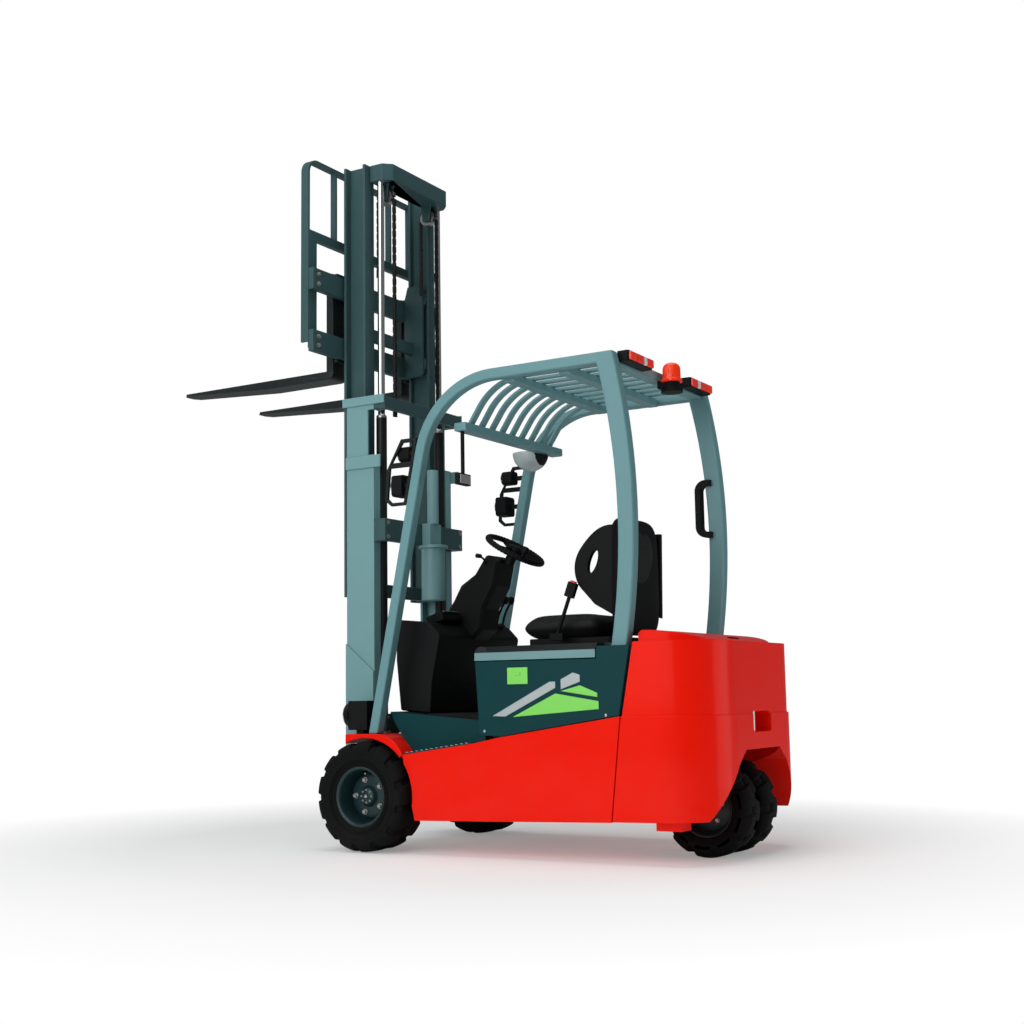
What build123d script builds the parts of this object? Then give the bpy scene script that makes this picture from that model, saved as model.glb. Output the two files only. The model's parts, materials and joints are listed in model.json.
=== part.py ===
from build123d import *
from math import atan2, cos, degrees, hypot, radians, sin, tan
import os

# Three-wheel electric counterbalance forklift with a two-stage mast, half raised.
# Millimetres. +X points to the fork tips, +Y to the truck's left, +Z up.
# Places are drawn from the front axle: X is measured forward of it, Z from the floor.
# On export every piece moves along X, so that the origin lies under the truck's middle.

# Wheels and stance
wheelbase = 1400.0
overall_width = 1076.0
front_tyre_radius = 229.0
front_tyre_width = 198.0
front_rim_radius = 128.0
front_hub_inset = 40.0
front_lugs = 13
rear_tyre_radius = 190.0
rear_tyre_width = 130.0
rear_rim_radius = 112.0
rear_twin_gap = 60.0
rear_lugs = 10
lug_depth = 12.0
steer_housing_width = 44.0
well_clearance = 14.0
arch_gap = 14.0

# Body
body_inset = 48.0
body_front_x = -193.0
body_bottom_z = 136.0
body_rail_z = 403.0
step_rear_z = 450.0
side_wall = 55.0
hood_front_ahead = 844.0
hood_skirt_z = 782.0
hood_top_z = 840.0
hood_bevel = 24.0
hood_wall = 30.0
leg_notch_ahead = 130.0
hinge_radius = 5.0
panel_thickness = 18.0
fender_top_z = 488.0
fender_front_x = 104.0
floor_front_x = -72.0
floor_front_z = 580.0
floor_rear_z = 540.0
floor_thickness = 10.0
step_width = 88.0

# Battery
battery_length = 522.0
battery_side_gap = 75.0
battery_height = 620.0
battery_clearance = 8.0

# Counterweight, measured from the steered axle
seam_bottom_ahead = 238.0
seam_top_ahead = 138.0
tail_overhang = 193.0
tail_corner_radius = 240.0
tail_step = 24.0
skirt_lift = 22.0
belt_z = 548.0
belt_inset = 7.0
counterweight_top_z = 838.0
cover_height = 45.0
arch_top_half = 178.0
tow_recess_z = 525.0
tow_pin_radius = 13.0

# Overhead guard
guard_inset = 20.0
guard_bar_width = 50.0
guard_bar_depth = 46.0
guard_leg_depth = 68.0
guard_foot_x = -3.0
guard_knee_x = -318.0
guard_top_z = 1990.0
guard_bend_radius = 390.0
guard_leg_bow = 60.0
guard_roof_bars = 9
roof_bar_width = 36.0
roof_bar_thickness = 12.0
front_beam_x = -452.0
front_beam_z = 1772.0

# Mast
mast_tyre_gap = 28.0
mast_rear_x = 80.0
mast_depth = 152.0
rail_flange = 14.0
rail_web = 12.0
rail_flange_width = 50.0
mast_foot_z = 66.0
mast_top_z = 1990.0
axle_tube_radius = 52.0
foot_ring_wall = 22.0
inner_rear_x = 140.0
inner_depth = 122.0
inner_flange = 14.0
inner_side_gap = 19.0
inner_rail_width = 71.0
inner_web_inset = 43.0
inner_web = 10.0
inner_length = 2005.0
inner_lowest_z = 70.0
lift_now = 1020.0
head_beam_height = 80.0
head_rear_x = 30.0
tie_front_x = 46.0
tie_depth = 28.0
lift_cylinder_x = 95.0
lift_cylinder_inset = 81.0
lift_barrel_radius = 24.0
lift_barrel_top_z = 1900.0
lift_rod_radius = 16.0
sheave_radius = 45.0
sheave_width = 26.0
sheave_x = 105.0
sheave_inset = 57.0
chain_width = 22.0
chain_waist = 15.0
chain_thickness = 12.0
chain_pitch = 48.0

# Carriage, backrest and forks
fork_bar_rear_x = 270.0
fork_bar_depth = 30.0
fork_bar_height = 100.0
fork_bar_low_z = 2186.0
fork_bar_high_z = 2472.0
carriage_half_width = 505.0
carriage_plate = 18.0
carriage_side_gap = 6.0
fork_length = 900.0
fork_width = 110.0
fork_thickness = 40.0
fork_y = 270.0
backrest_top_z = 3095.0
backrest_bottom_z = 2232.0
backrest_bar_depth = 42.0
backrest_bar = 12.0
backrest_corner_radius = 62.0
backrest_middle_z = 2735.0

# Tilt cylinders
tilt_cylinder_y = 190.0
tilt_base_x = -420.0
tilt_base_z = 430.0
tilt_ear_x = -18.0
tilt_eye_z = 520.0
tilt_barrel_radius = 30.0
tilt_barrel_length = 300.0
tilt_rod_radius = 15.0
tilt_pin_radius = 11.0
tilt_eye_radius = 26.0

# Driver's place
wheel_tilt = 31.0
wheel_centre = (-463.0, 0.0, 1278.0)
wheel_radius = 131.0
seat_half_width = 225.0
seat_front_gap = 50.0
seat_length = 468.0

# Fits
running_gap = 0.08
turning_gap = 0.5
seam = 5.0
rod_bore_gap = 2.0

# Places that follow from the sizes above
body_width = overall_width - 2 * body_inset
body_half = body_width / 2
mast_half_width = overall_width / 2 - front_tyre_width - mast_tyre_gap
inner_outer_y = mast_half_width - inner_side_gap
inner_inner_y = inner_outer_y - inner_rail_width
inner_web_y = inner_outer_y - inner_web_inset
lift_cylinder_y = mast_half_width - lift_cylinder_inset
sheave_y = lift_cylinder_y - sheave_inset
carriage_plate_outer_y = inner_inner_y - carriage_side_gap
axle_z = front_tyre_radius
front_tyre_y = (overall_width - front_tyre_width) / 2
axle_half_length = front_tyre_y - front_hub_inset - turning_gap
steer_x = -wheelbase
hood_front_x = steer_x + hood_front_ahead
seat_front_x = hood_front_x - seat_front_gap
seat_rear_x = seat_front_x - seat_length
seam_bottom_x = steer_x + seam_bottom_ahead
seam_top_x = steer_x + seam_top_ahead
tail_x = steer_x - tail_overhang
rear_tyre_y = (rear_twin_gap + rear_tyre_width) / 2
steer_sweep = hypot(rear_tyre_radius, rear_tyre_y + rear_tyre_width / 2)
well_radius = steer_sweep + well_clearance
well_top_z = 2 * rear_tyre_radius + 40.0
guard_rear_x = seam_top_x + 58.0
leg_foot_x = seam_top_x + 24.0
battery_width = body_width - 2 * battery_side_gap
hood_notch_x = leg_foot_x + leg_notch_ahead
guard_half_width = body_half - guard_inset
leg_inner_y = guard_half_width - guard_bar_width
mast_front_x = mast_rear_x + mast_depth
rail_tip_y = mast_half_width - rail_flange_width
inner_front_x = inner_rear_x + inner_depth
inner_bottom_z = inner_lowest_z + lift_now
inner_top_z = inner_bottom_z + inner_length
inner_beam_bottom_z = inner_top_z - head_beam_height
tie_rear_x = tie_front_x - tie_depth
fork_rear_x = fork_bar_rear_x + fork_bar_depth
fork_front_x = fork_rear_x + fork_thickness
fork_tip_x = fork_front_x + fork_length
fork_bottom_z = fork_bar_low_z - 94.0
front_axle_x = -(fork_tip_x + tail_x) / 2
battery_front_x = hood_front_x - 32.0
bay_front_x = battery_front_x + battery_clearance
bay_rear_x = battery_front_x - battery_length - battery_clearance
bay_floor_z = body_bottom_z + 34


def save(shape, label):
    """Write one piece to its own file, moved from the axle's frame to the truck's middle."""
    placed = shape.moved(Location((front_axle_x, 0, 0)))
    placed.label = label
    export_step(placed, f"parts/{label}.step")


def side_plane(y):
    """The upright lengthwise plane at a distance to the left; extruding from it goes right."""
    return Plane.XZ.offset(-y)


def other_side(shape):
    """The same piece on the truck's right."""
    return mirror(shape, about=Plane.XZ)


def save_pair(shape, label):
    """Write a left-hand piece and its right-hand copy to two files."""
    save(shape, f"{label}_left")
    save(other_side(shape), f"{label}_right")


def save_both(shape, label):
    """Write a left-hand piece and its right-hand copy to one file."""
    save(Compound([shape, other_side(shape)]), label)


def slab(points, y_outer, y_inner):
    """A flat piece with a straight-sided outline in side view, between two planes."""
    with BuildPart() as piece:
        with BuildSketch(side_plane(y_outer)):
            with BuildLine():
                Polyline(*points, close=True)
            make_face()
        extrude(amount=y_outer - y_inner)
    return piece.part


os.makedirs("parts", exist_ok=True)

# Red lower body in side view, from the front edge to the seam at the counterweight
seam_mid_z = 540.0
seam_mid_x = seam_bottom_x - 44
panel_base_x = hood_front_x - 117
body_outline = [
    (body_front_x, body_rail_z),
    (body_front_x - 61, body_bottom_z),
    (seam_bottom_x, body_bottom_z + 20),
    (seam_mid_x, seam_mid_z),
    (seam_mid_x - 2, seam_mid_z + 16),
    (panel_base_x, 476),
    (hood_front_x + 18, step_rear_z),
]

# Drive axle: a tube from hub to hub with a motor housing in the middle
with BuildPart() as drive_axle:
    with BuildSketch(side_plane(axle_half_length)):
        with Locations((0, axle_z)):
            Circle(axle_tube_radius)
    extrude(amount=2 * axle_half_length)
    with BuildSketch(side_plane(120)):
        with Locations((0, axle_z)):
            Circle(axle_tube_radius + 24)
    extrude(amount=240)
save(drive_axle.part, "drive_axle")

# Main frame: side walls, battery bay, front bay for the tilt cylinders, axle arms
arm_y, arm_width, arm_ring = 163.0, 70.0, 72.0
with BuildPart() as chassis:
    with BuildSketch(side_plane(body_half)):
        with BuildLine():
            Polyline(*body_outline, close=True)
        make_face()
    extrude(amount=body_width)
    with BuildSketch(Plane.XY.offset(bay_floor_z)):
        with Locations(((bay_front_x + bay_rear_x) / 2, 0)):
            Rectangle(bay_front_x - bay_rear_x, battery_width + 2 * battery_clearance)
    extrude(amount=battery_height, mode=Mode.SUBTRACT)
    front_bay_rear_x = bay_front_x + 30
    front_bay_front_x = body_front_x - 80
    with BuildSketch(Plane.XY.offset(body_bottom_z + 12)):
        with Locations(((front_bay_rear_x + front_bay_front_x) / 2, 0)):
            Rectangle(front_bay_front_x - front_bay_rear_x, body_width - 2 * side_wall - 60)
    extrude(amount=battery_height, mode=Mode.SUBTRACT)
    with Locations((steer_x, 0, 0)):
        Cylinder(well_radius, 2 * well_top_z, mode=Mode.SUBTRACT)
    for side in (-1, 1):
        with BuildSketch(side_plane(side * front_tyre_y + front_tyre_width / 2 + 20)):
            with Locations((0, axle_z)):
                Circle(front_tyre_radius + arch_gap)
        extrude(amount=front_tyre_width + 40, mode=Mode.SUBTRACT)
        with BuildSketch(side_plane(side * arm_y + arm_width / 2)):
            with BuildLine():
                Polyline(
                    (body_front_x - 30, body_rail_z - 30), (0, axle_z + arm_ring),
                    (0, axle_z - arm_ring), (body_front_x - 60, body_bottom_z), close=True,
                )
            make_face()
            with Locations((0, axle_z)):
                Circle(arm_ring)
                Circle(axle_tube_radius, mode=Mode.SUBTRACT)
        extrude(amount=arm_width)
save(chassis.part, "chassis")

# Floor plate that climbs towards the pedals
floor_rear_x = hood_front_x + seam
riser_y = body_half - step_width
floor_plate = slab(
    [
        (floor_front_x, floor_front_z),
        (floor_rear_x, floor_rear_z),
        (floor_rear_x, floor_rear_z - floor_thickness),
        (floor_front_x, floor_front_z - floor_thickness),
    ],
    riser_y, -riser_y,
)
save(floor_plate, "floor_plate")

# Front fenders: a lip over each wheel that runs down to the body's front corner
fender_inner = front_tyre_radius + arch_gap - 2
corner_reach = hypot(body_front_x, body_rail_z - axle_z)
inner_corner = (
    body_front_x * fender_inner / corner_reach,
    axle_z + (body_rail_z - axle_z) * fender_inner / corner_reach,
)
fender_front_z = axle_z + (fender_inner**2 - fender_front_x**2) ** 0.5
with BuildPart() as fender:
    with BuildSketch(side_plane(body_half)):
        with BuildLine():
            top_end = (-58, fender_top_z)
            Line((fender_front_x, fender_front_z), (fender_front_x, fender_top_z))
            Line((fender_front_x, fender_top_z), top_end)
            TangentArc(top_end, (body_front_x, body_rail_z), tangent=(-1, 0))
            Line((body_front_x, body_rail_z), inner_corner)
            ThreePointArc(inner_corner, (0, axle_z + fender_inner), (fender_front_x, fender_front_z))
        make_face()
    extrude(amount=body_half - mast_half_width - 10)
save_both(fender.part, "fenders")

# Step at each side: a tread on the body and the riser up to the floor plate
with BuildPart() as step:
    with BuildSketch(side_plane(riser_y + 2)):
        with BuildLine():
            Polyline(
                (floor_front_x, floor_front_z), (floor_front_x - 19, floor_front_z - 40),
                (body_front_x + 4, body_rail_z), (hood_front_x + 18, step_rear_z),
                (floor_rear_x, step_rear_z + 4), (floor_rear_x, floor_rear_z), close=True,
            )
        make_face()
    extrude(amount=16)
    with BuildSketch(side_plane(body_half - 3)):
        with BuildLine():
            Polyline(
                (body_front_x + 4, body_rail_z), (body_front_x + 4, body_rail_z + 5),
                (hood_front_x + 18, step_rear_z + 5), (hood_front_x + 18, step_rear_z), close=True,
            )
        make_face()
    extrude(amount=step_width)
    add(floor_plate, mode=Mode.SUBTRACT)
    add(fender.part, mode=Mode.SUBTRACT)
    add(chassis.part, mode=Mode.SUBTRACT)
save_both(step.part, "steps")

# Battery block in its bay
with BuildPart() as battery:
    with BuildSketch(Plane.XY.offset(bay_floor_z)):
        with Locations((battery_front_x - battery_length / 2, 0)):
            Rectangle(battery_length, battery_width)
    extrude(amount=battery_height)
    chamfer(battery.edges().filter_by(Axis.Z), 10)
save(battery.part, "battery")

# Side panels over the battery, between the body and the hood
panel = slab(
    [
        (hood_front_x - 2, hood_skirt_z - 4),
        (hood_front_x - 20, 484),
        (panel_base_x, 479),
        (seam_mid_x, seam_mid_z + 19),
        (seam_top_x + 6, 826),
        (hood_notch_x - seam, 826),
        (hood_notch_x - seam, hood_skirt_z - 4),
    ],
    body_half, body_half - panel_thickness,
)
save_both(panel, "side_panels")

# Hood: a pressed cover with bevelled shoulders, hinged at its rear edge
hood_rear_x = seam_top_x + 2
with BuildPart() as hood:
    with BuildSketch(side_plane(body_half)):
        with BuildLine():
            Line((hood_front_x, hood_skirt_z), (hood_front_x, hood_top_z - 34))
            TangentArc((hood_front_x, hood_top_z - 34), (hood_front_x - 42, hood_top_z - 2), tangent=(0, 1))
            Polyline(
                (hood_front_x - 42, hood_top_z - 2), (hood_rear_x, hood_top_z),
                (hood_rear_x + 12, hood_skirt_z), (hood_front_x, hood_skirt_z),
            )
        make_face()
    extrude(amount=body_width)
    shoulders = hood.edges().filter_by(lambda e: abs(abs(e.center().Y) - body_half) < 1)
    shoulders = shoulders.filter_by(lambda e: e.center().Z > hood_top_z - 3 and e.length > 300)
    chamfer(shoulders, hood_bevel)
    with BuildSketch(Plane.XY.offset(hood_skirt_z - 12)):
        with Locations(((hood_front_x + hood_rear_x) / 2, 0)):
            Rectangle(hood_front_x - hood_rear_x - 2 * hood_wall, body_width - 2 * hood_wall)
    extrude(amount=hood_wall, mode=Mode.SUBTRACT)
    for side in (-1, 1):
        with BuildSketch(Plane.XY.offset(hood_skirt_z - 12)):
            with Locations(((hood_notch_x + hood_rear_x) / 2 - 10, side * body_half)):
                Rectangle(hood_notch_x - hood_rear_x + 20, 2 * (body_half - leg_inner_y + seam))
        extrude(amount=100, mode=Mode.SUBTRACT)
    # Hinge knuckles along the rear edge
    for y in (-250, 250):
        with BuildSketch(side_plane(y + 45)):
            with Locations((hood_rear_x, hood_top_z)):
                Circle(hinge_radius)
        extrude(amount=90)
save(hood.part, "hood")

# Counterweight: one casting with rounded rear corners, a belt ledge and a wheel arch
with BuildPart() as counterweight:
    for low_z, high_z, inset in (
        (body_bottom_z, belt_z + 8, 0), (belt_z, counterweight_top_z, belt_inset),
    ):
        half = body_half - inset
        rear = tail_x + inset
        with BuildSketch(Plane.XY.offset(low_z)):
            with BuildLine():
                FilletPolyline(
                    (seam_bottom_x, half), (rear, half), (rear, -half), (seam_bottom_x, -half),
                    radius=tail_corner_radius - inset,
                )
                Line((seam_bottom_x, -half), (seam_bottom_x, half))
            make_face()
        extrude(amount=high_z - low_z)
    # Side outline: leaning seam in front, ledge, rounded shoulder and tucked-in tail
    with BuildSketch(side_plane(body_half + 10)):
        with BuildLine():
            Polyline(
                (seam_bottom_x - seam, body_bottom_z + skirt_lift),
                (tail_x + 54, body_bottom_z + skirt_lift + 6),
                (tail_x, 228),
                (tail_x, 345),
                (tail_x + 6, belt_z),
                (tail_x + tail_step, belt_z + 10),
                (tail_x + tail_step + 4, 786),
            )
            ThreePointArc(
                (tail_x + tail_step + 4, 786), (tail_x + 82, counterweight_top_z - 15),
                (tail_x + 210, counterweight_top_z),
            )
            Polyline(
                (tail_x + 210, counterweight_top_z),
                (seam_top_x - seam, counterweight_top_z),
                (seam_mid_x - seam, seam_mid_z),
                (seam_bottom_x - seam, body_bottom_z + skirt_lift),
            )
        make_face()
    extrude(amount=body_width + 20, mode=Mode.INTERSECT)
    # Wheel well, and the arch that flares down and outward at the rear
    with Locations((steer_x, 0, 0)):
        Cylinder(well_radius, 2 * well_top_z, mode=Mode.SUBTRACT)
    with BuildSketch(Plane.YZ.offset(tail_x - 20)):
        with BuildLine():
            low_z = body_bottom_z - 10
            FilletPolyline(
                (-440, low_z), (-250, 365), (-arch_top_half, well_top_z),
                (arch_top_half, well_top_z), (250, 365), (440, low_z), radius=46,
            )
            Line((440, low_z), (-440, low_z))
        make_face()
    extrude(amount=tail_overhang + 20, mode=Mode.SUBTRACT)
    # Towing recess and the bore for its pin
    with BuildSketch(Plane.YZ.offset(tail_x - 20)):
        with Locations((0, tow_recess_z)):
            RectangleRounded(190, 80, 18)
    extrude(amount=110, mode=Mode.SUBTRACT)
    with BuildSketch(Plane.XY.offset(tow_recess_z - 85)):
        with Locations((tail_x + 45, 0)):
            Circle(tow_pin_radius)
    extrude(amount=265, mode=Mode.SUBTRACT)
    # Feet under the casting, outside the wheel well
    for side in (-1, 1):
        with Locations((steer_x + 27, side * 385, body_bottom_z + 12)):
            Box(104, 90, 44)
save(counterweight.part, "counterweight")

# Crowned cover on the counterweight, rounded at its rear corners and seated on the casting
cover_half = body_half - 52
cover_rear_x = tail_x + 72
with BuildPart() as rear_cover:
    top_z = counterweight_top_z
    with BuildSketch(Plane.XY.offset(top_z - 40)):
        with BuildLine():
            FilletPolyline(
                (seam_top_x - 8, cover_half), (cover_rear_x, cover_half),
                (cover_rear_x, -cover_half), (seam_top_x - 8, -cover_half), radius=190,
            )
            Line((seam_top_x - 8, -cover_half), (seam_top_x - 8, cover_half))
        make_face()
    extrude(amount=40 + cover_height)
    with BuildSketch(side_plane(cover_half + 1)):
        with BuildLine():
            Polyline(
                (cover_rear_x - 1, top_z + 4), (cover_rear_x - 1, top_z - 40),
                (seam_top_x - 8, top_z - 40), (seam_top_x - 8, top_z + cover_height - 12),
                (seam_top_x - 22, top_z + cover_height),
            )
            ThreePointArc(
                (seam_top_x - 22, top_z + cover_height), (seam_top_x - 140, top_z + cover_height - 10),
                (cover_rear_x - 1, top_z + 4),
            )
        make_face()
    extrude(amount=2 * cover_half + 2, mode=Mode.INTERSECT)
    add(counterweight.part, mode=Mode.SUBTRACT)
save(rear_cover.part, "rear_cover")

# Towing pin, a loose drop-in pin in its bore
with BuildPart() as tow_pin:
    with BuildSketch(Plane.XY.offset(tow_recess_z - 79)):
        with Locations((tail_x + 45, 0)):
            Circle(tow_pin_radius - running_gap)
    extrude(amount=150)
save(tow_pin.part, "tow_pin")


# Overhead guard: pillar, roof rail and bowed rear leg in one run at each side
def guard_run(inset):
    """The guard's outer corners in side view, or the corners of a line inset from them."""
    lean = atan2(guard_foot_x - guard_knee_x, guard_top_z - fender_top_z)
    foot = (guard_foot_x - inset / cos(lean), fender_top_z)
    knee = (guard_knee_x - inset / cos(lean) + inset * tan(lean), guard_top_z - inset)
    return foot, knee


with BuildPart() as guard:
    outer_foot, outer_knee = guard_run(0)
    inner_foot, inner_knee = guard_run(guard_bar_depth)
    outer_rear = (guard_rear_x, guard_top_z)
    inner_rear = (guard_rear_x + guard_leg_depth + 4, guard_top_z - guard_bar_depth)
    leg_mid_z = (guard_top_z + counterweight_top_z) / 2 - 84
    leg_mid_x = leg_foot_x - guard_leg_bow + 19
    leg_low_x = leg_foot_x + 40
    leg_top_z = counterweight_top_z + 4
    with BuildSketch(side_plane(guard_half_width)):
        with BuildLine():
            FilletPolyline(outer_foot, outer_knee, outer_rear, radius=guard_bend_radius)
            ThreePointArc(outer_rear, (leg_mid_x, leg_mid_z), (leg_foot_x, leg_top_z))
            Polyline(
                (leg_foot_x, leg_top_z), (leg_low_x, seam_mid_z), (leg_low_x + 70, seam_mid_z),
                (leg_foot_x + guard_leg_depth, leg_top_z - 4),
            )
            ThreePointArc(
                (leg_foot_x + guard_leg_depth, leg_top_z - 4),
                (leg_mid_x + guard_leg_depth + 2, leg_mid_z), inner_rear,
            )
            FilletPolyline(
                inner_rear, inner_knee, inner_foot, radius=guard_bend_radius - guard_bar_depth,
            )
            Line(inner_foot, outer_foot)
        make_face()
    extrude(amount=guard_bar_width)
    add(chassis.part, mode=Mode.SUBTRACT)
save_both(guard.part, "guard_frames")

# Cross tubes of the guard, seated between its two side frames
roof_bar_z = guard_top_z - 18
rear_beam_x = guard_rear_x + 34
with BuildPart() as guard_beams:
    for x, z, depth, height in (
        (front_beam_x, front_beam_z, 60, 36),
        (-700, roof_bar_z - 23, 50, 34),
        (-960, roof_bar_z - 23, 50, 34),
        (rear_beam_x, roof_bar_z - 10, 54, 40),
    ):
        with Locations((x, 0, z)):
            Box(depth, 2 * leg_inner_y, height)
save(guard_beams.part, "guard_beams")

# Roof bars, bent down in front, between the front and rear cross tubes
with BuildPart() as guard_bars:
    pitch = 2 * leg_inner_y / (guard_roof_bars + 1)
    for index in range(guard_roof_bars):
        y = -leg_inner_y + pitch * (index + 1)
        with BuildSketch(side_plane(y + roof_bar_width / 2)):
            with BuildLine():
                FilletPolyline(
                    (front_beam_x + 6, front_beam_z + 8), (front_beam_x - 124, roof_bar_z),
                    (rear_beam_x + 20, roof_bar_z), radius=255,
                )
            trace(line_width=roof_bar_thickness)
        extrude(amount=roof_bar_width)
    add(guard_beams.part, mode=Mode.SUBTRACT)
save(guard_bars.part, "guard_bars")

# Lamp bars behind the rear cross tube, each with a clear inner end
lamp_face_x = rear_beam_x - 27
with BuildPart() as rear_lamps:
    for side in (-1, 1):
        with Locations((lamp_face_x - 26, side * 300, roof_bar_z + 2)):
            Box(52, 224, 44)
    fillet(rear_lamps.edges().filter_by(Axis.Z).group_by(Axis.X)[0], 12)
save(rear_lamps.part, "rear_lamps")

# Warning beacon on a collar behind the rear cross tube
beacon_x = lamp_face_x - 48
with BuildPart() as beacon_base:
    with BuildSketch(Plane.XY.offset(roof_bar_z - 80)):
        with Locations((beacon_x, 0)):
            Circle(46)
    extrude(amount=22)
    with BuildSketch(Plane.XY.offset(roof_bar_z - 58)):
        with Locations((beacon_x, 0)):
            Circle(34)
    extrude(amount=22)
    with Locations(((beacon_x + lamp_face_x) / 2, 0, roof_bar_z - 49)):
        Box(lamp_face_x - beacon_x, 60, 26)
    with Locations((lamp_face_x + 3, 0, roof_bar_z - 46)):
        Box(6, 60, 32)
    add(guard_beams.part, mode=Mode.SUBTRACT)
save(beacon_base.part, "beacon_base")
with BuildPart() as beacon:
    with BuildSketch(Plane(origin=(beacon_x, 0, roof_bar_z - 36), x_dir=(1, 0, 0), z_dir=(0, -1, 0))):
        with BuildLine():
            Polyline(
                (0, 0), (44, 0), (44, 14), (38, 18), (38, 56), (35, 68), (26, 78), (12, 83),
                (0, 84), close=True,
            )
        make_face()
    revolve(axis=Axis((beacon_x, 0, 0), (0, 0, 1)))
save(beacon.part, "beacon")


def pillar_x(z):
    """The front pillar's outer edge at a height below its bend."""
    return guard_foot_x + (guard_knee_x - guard_foot_x) * (z - fender_top_z) / (guard_top_z - fender_top_z)


# Lamp frames in front of the pillars: a slanted frame with two cells, and its lamps
frame_low_z, frame_high_z = 1452.0, 1738.0
with BuildPart() as lamp_frame:
    with BuildSketch(side_plane(guard_half_width)):
        with BuildLine():
            Polyline(
                (pillar_x(frame_high_z), frame_high_z), (pillar_x(frame_high_z) + 84, frame_high_z),
                (pillar_x(1610) + 132, 1610), (pillar_x(1500) + 118, 1478), (-128, frame_low_z),
                (pillar_x(frame_low_z), frame_low_z), close=True,
            )
        make_face()
        with BuildLine():
            Polyline(
                (pillar_x(1722) + 14, 1722), (pillar_x(1722) + 72, 1722), (pillar_x(1638) + 112, 1638),
                (pillar_x(1638) + 14, 1638), close=True,
            )
        make_face(mode=Mode.SUBTRACT)
        with BuildLine():
            Polyline(
                (pillar_x(1616) + 14, 1616), (pillar_x(1616) + 116, 1616),
                (pillar_x(1500) + 104, 1486), (-132, 1466), (pillar_x(1466) + 14, 1466), close=True,
            )
        make_face(mode=Mode.SUBTRACT)
    extrude(amount=14)
    add(guard.part, mode=Mode.SUBTRACT)
save_both(lamp_frame.part, "lamp_frames")
with BuildPart() as pillar_lamps:
    for side in (-1, 1):
        for z, size in ((1676, 64), (1540, 92)):
            with BuildSketch(Plane.YZ.offset(pillar_x(z) + 40)):
                with Locations((side * 424, z)):
                    RectangleRounded(size, size, 16)
            extrude(amount=54)
            with Locations((pillar_x(z) + 20, side * 440, z)):
                Box(48, 20, 20)
    add(guard.part, mode=Mode.SUBTRACT)
    add(other_side(guard.part), mode=Mode.SUBTRACT)
save(pillar_lamps.part, "pillar_lamps")

# Front lamps on the fenders: a dark housing with a round lens in front
with BuildPart() as fender_lamps:
    for side in (-1, 1):
        with Locations((70, side * 400, fender_top_z + 78)):
            Box(100, 96, 124)
        with Locations((70, side * 400, fender_top_z + 8)):
            Box(40, 60, 16)
        with BuildSketch(Plane.YZ.offset(120)):
            with Locations((side * 400, fender_top_z + 80)):
                Circle(56)
        extrude(amount=26, taper=8)
save(fender_lamps.part, "fender_lamps")

# Grab handle on the rear right leg
handle_x = leg_mid_x + guard_leg_depth
with BuildPart() as grab_handle:
    with BuildSketch(side_plane(-leg_inner_y + 24)):
        with BuildLine():
            FilletPolyline(
                (handle_x - 20, 1560), (handle_x + 40, 1560), (handle_x + 40, 1330),
                (handle_x - 20, 1330), radius=36,
            )
        trace(line_width=26)
    extrude(amount=44)
    add(other_side(guard.part), mode=Mode.SUBTRACT)
save(grab_handle.part.solids().sort_by(Axis.X)[-1], "grab_handle")

# Mirrors: a half-dome by the right pillar and a flat one hung from the front cross tube
dome_z, dome_radius = 1766.0, 84.0
mirror_y, mirror_z = 408.0, 1547.0
with BuildPart() as mirrors:
    with Locations((front_beam_x + 88, -322, dome_z)):
        Sphere(dome_radius)
    with BuildSketch(Plane.XY.offset(dome_z)):
        with Locations((front_beam_x + 88, -322)):
            Rectangle(3 * dome_radius, 3 * dome_radius)
    extrude(amount=2 * dome_radius, mode=Mode.SUBTRACT)
    add(guard_beams.part, mode=Mode.SUBTRACT)
    stalk_top_z = front_beam_z - 18
    with Locations((front_beam_x, mirror_y - 8, (stalk_top_z + mirror_z) / 2)):
        Box(12, 14, stalk_top_z - mirror_z)
    with Locations((front_beam_x, mirror_y - 8, mirror_z)):
        Box(24, 88, 48)
save(mirrors.part, "mirrors")

# Outer rails: channels that open inward, ringed round the axle tube at the foot
ring_radius = axle_tube_radius + foot_ring_wall
rail_mid_x = mast_rear_x + mast_depth / 2
rail_mid_y = mast_half_width - rail_flange_width / 2
notch_low_z, notch_high_z = 1722.0, 1928.0
with BuildPart() as outer_rail:
    with BuildSketch(Plane.XY.offset(mast_foot_z)):
        with Locations((rail_mid_x, rail_mid_y)):
            Rectangle(mast_depth, rail_flange_width)
        with Locations((rail_mid_x, rail_mid_y - rail_web)):
            Rectangle(mast_depth - 2 * rail_flange, rail_flange_width, mode=Mode.SUBTRACT)
    extrude(amount=mast_top_z - mast_foot_z)
    with BuildSketch(side_plane(mast_half_width + 1)):
        with Locations((mast_rear_x + 15, (notch_low_z + notch_high_z) / 2)):
            Rectangle(36, notch_high_z - notch_low_z)
    extrude(amount=rail_flange_width + 2, mode=Mode.SUBTRACT)
    with BuildSketch(side_plane(mast_half_width)):
        with Locations((0, axle_z)):
            Circle(ring_radius)
        with BuildLine():
            Polyline(
                (0, axle_z + ring_radius), (mast_rear_x, 420), (mast_rear_x, 120),
                (0, axle_z - ring_radius), close=True,
            )
        make_face()
        with Locations((0, axle_z)):
            Circle(axle_tube_radius + running_gap, mode=Mode.SUBTRACT)
    extrude(amount=rail_flange_width)
save_both(outer_rail.part, "outer_rails")

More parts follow.
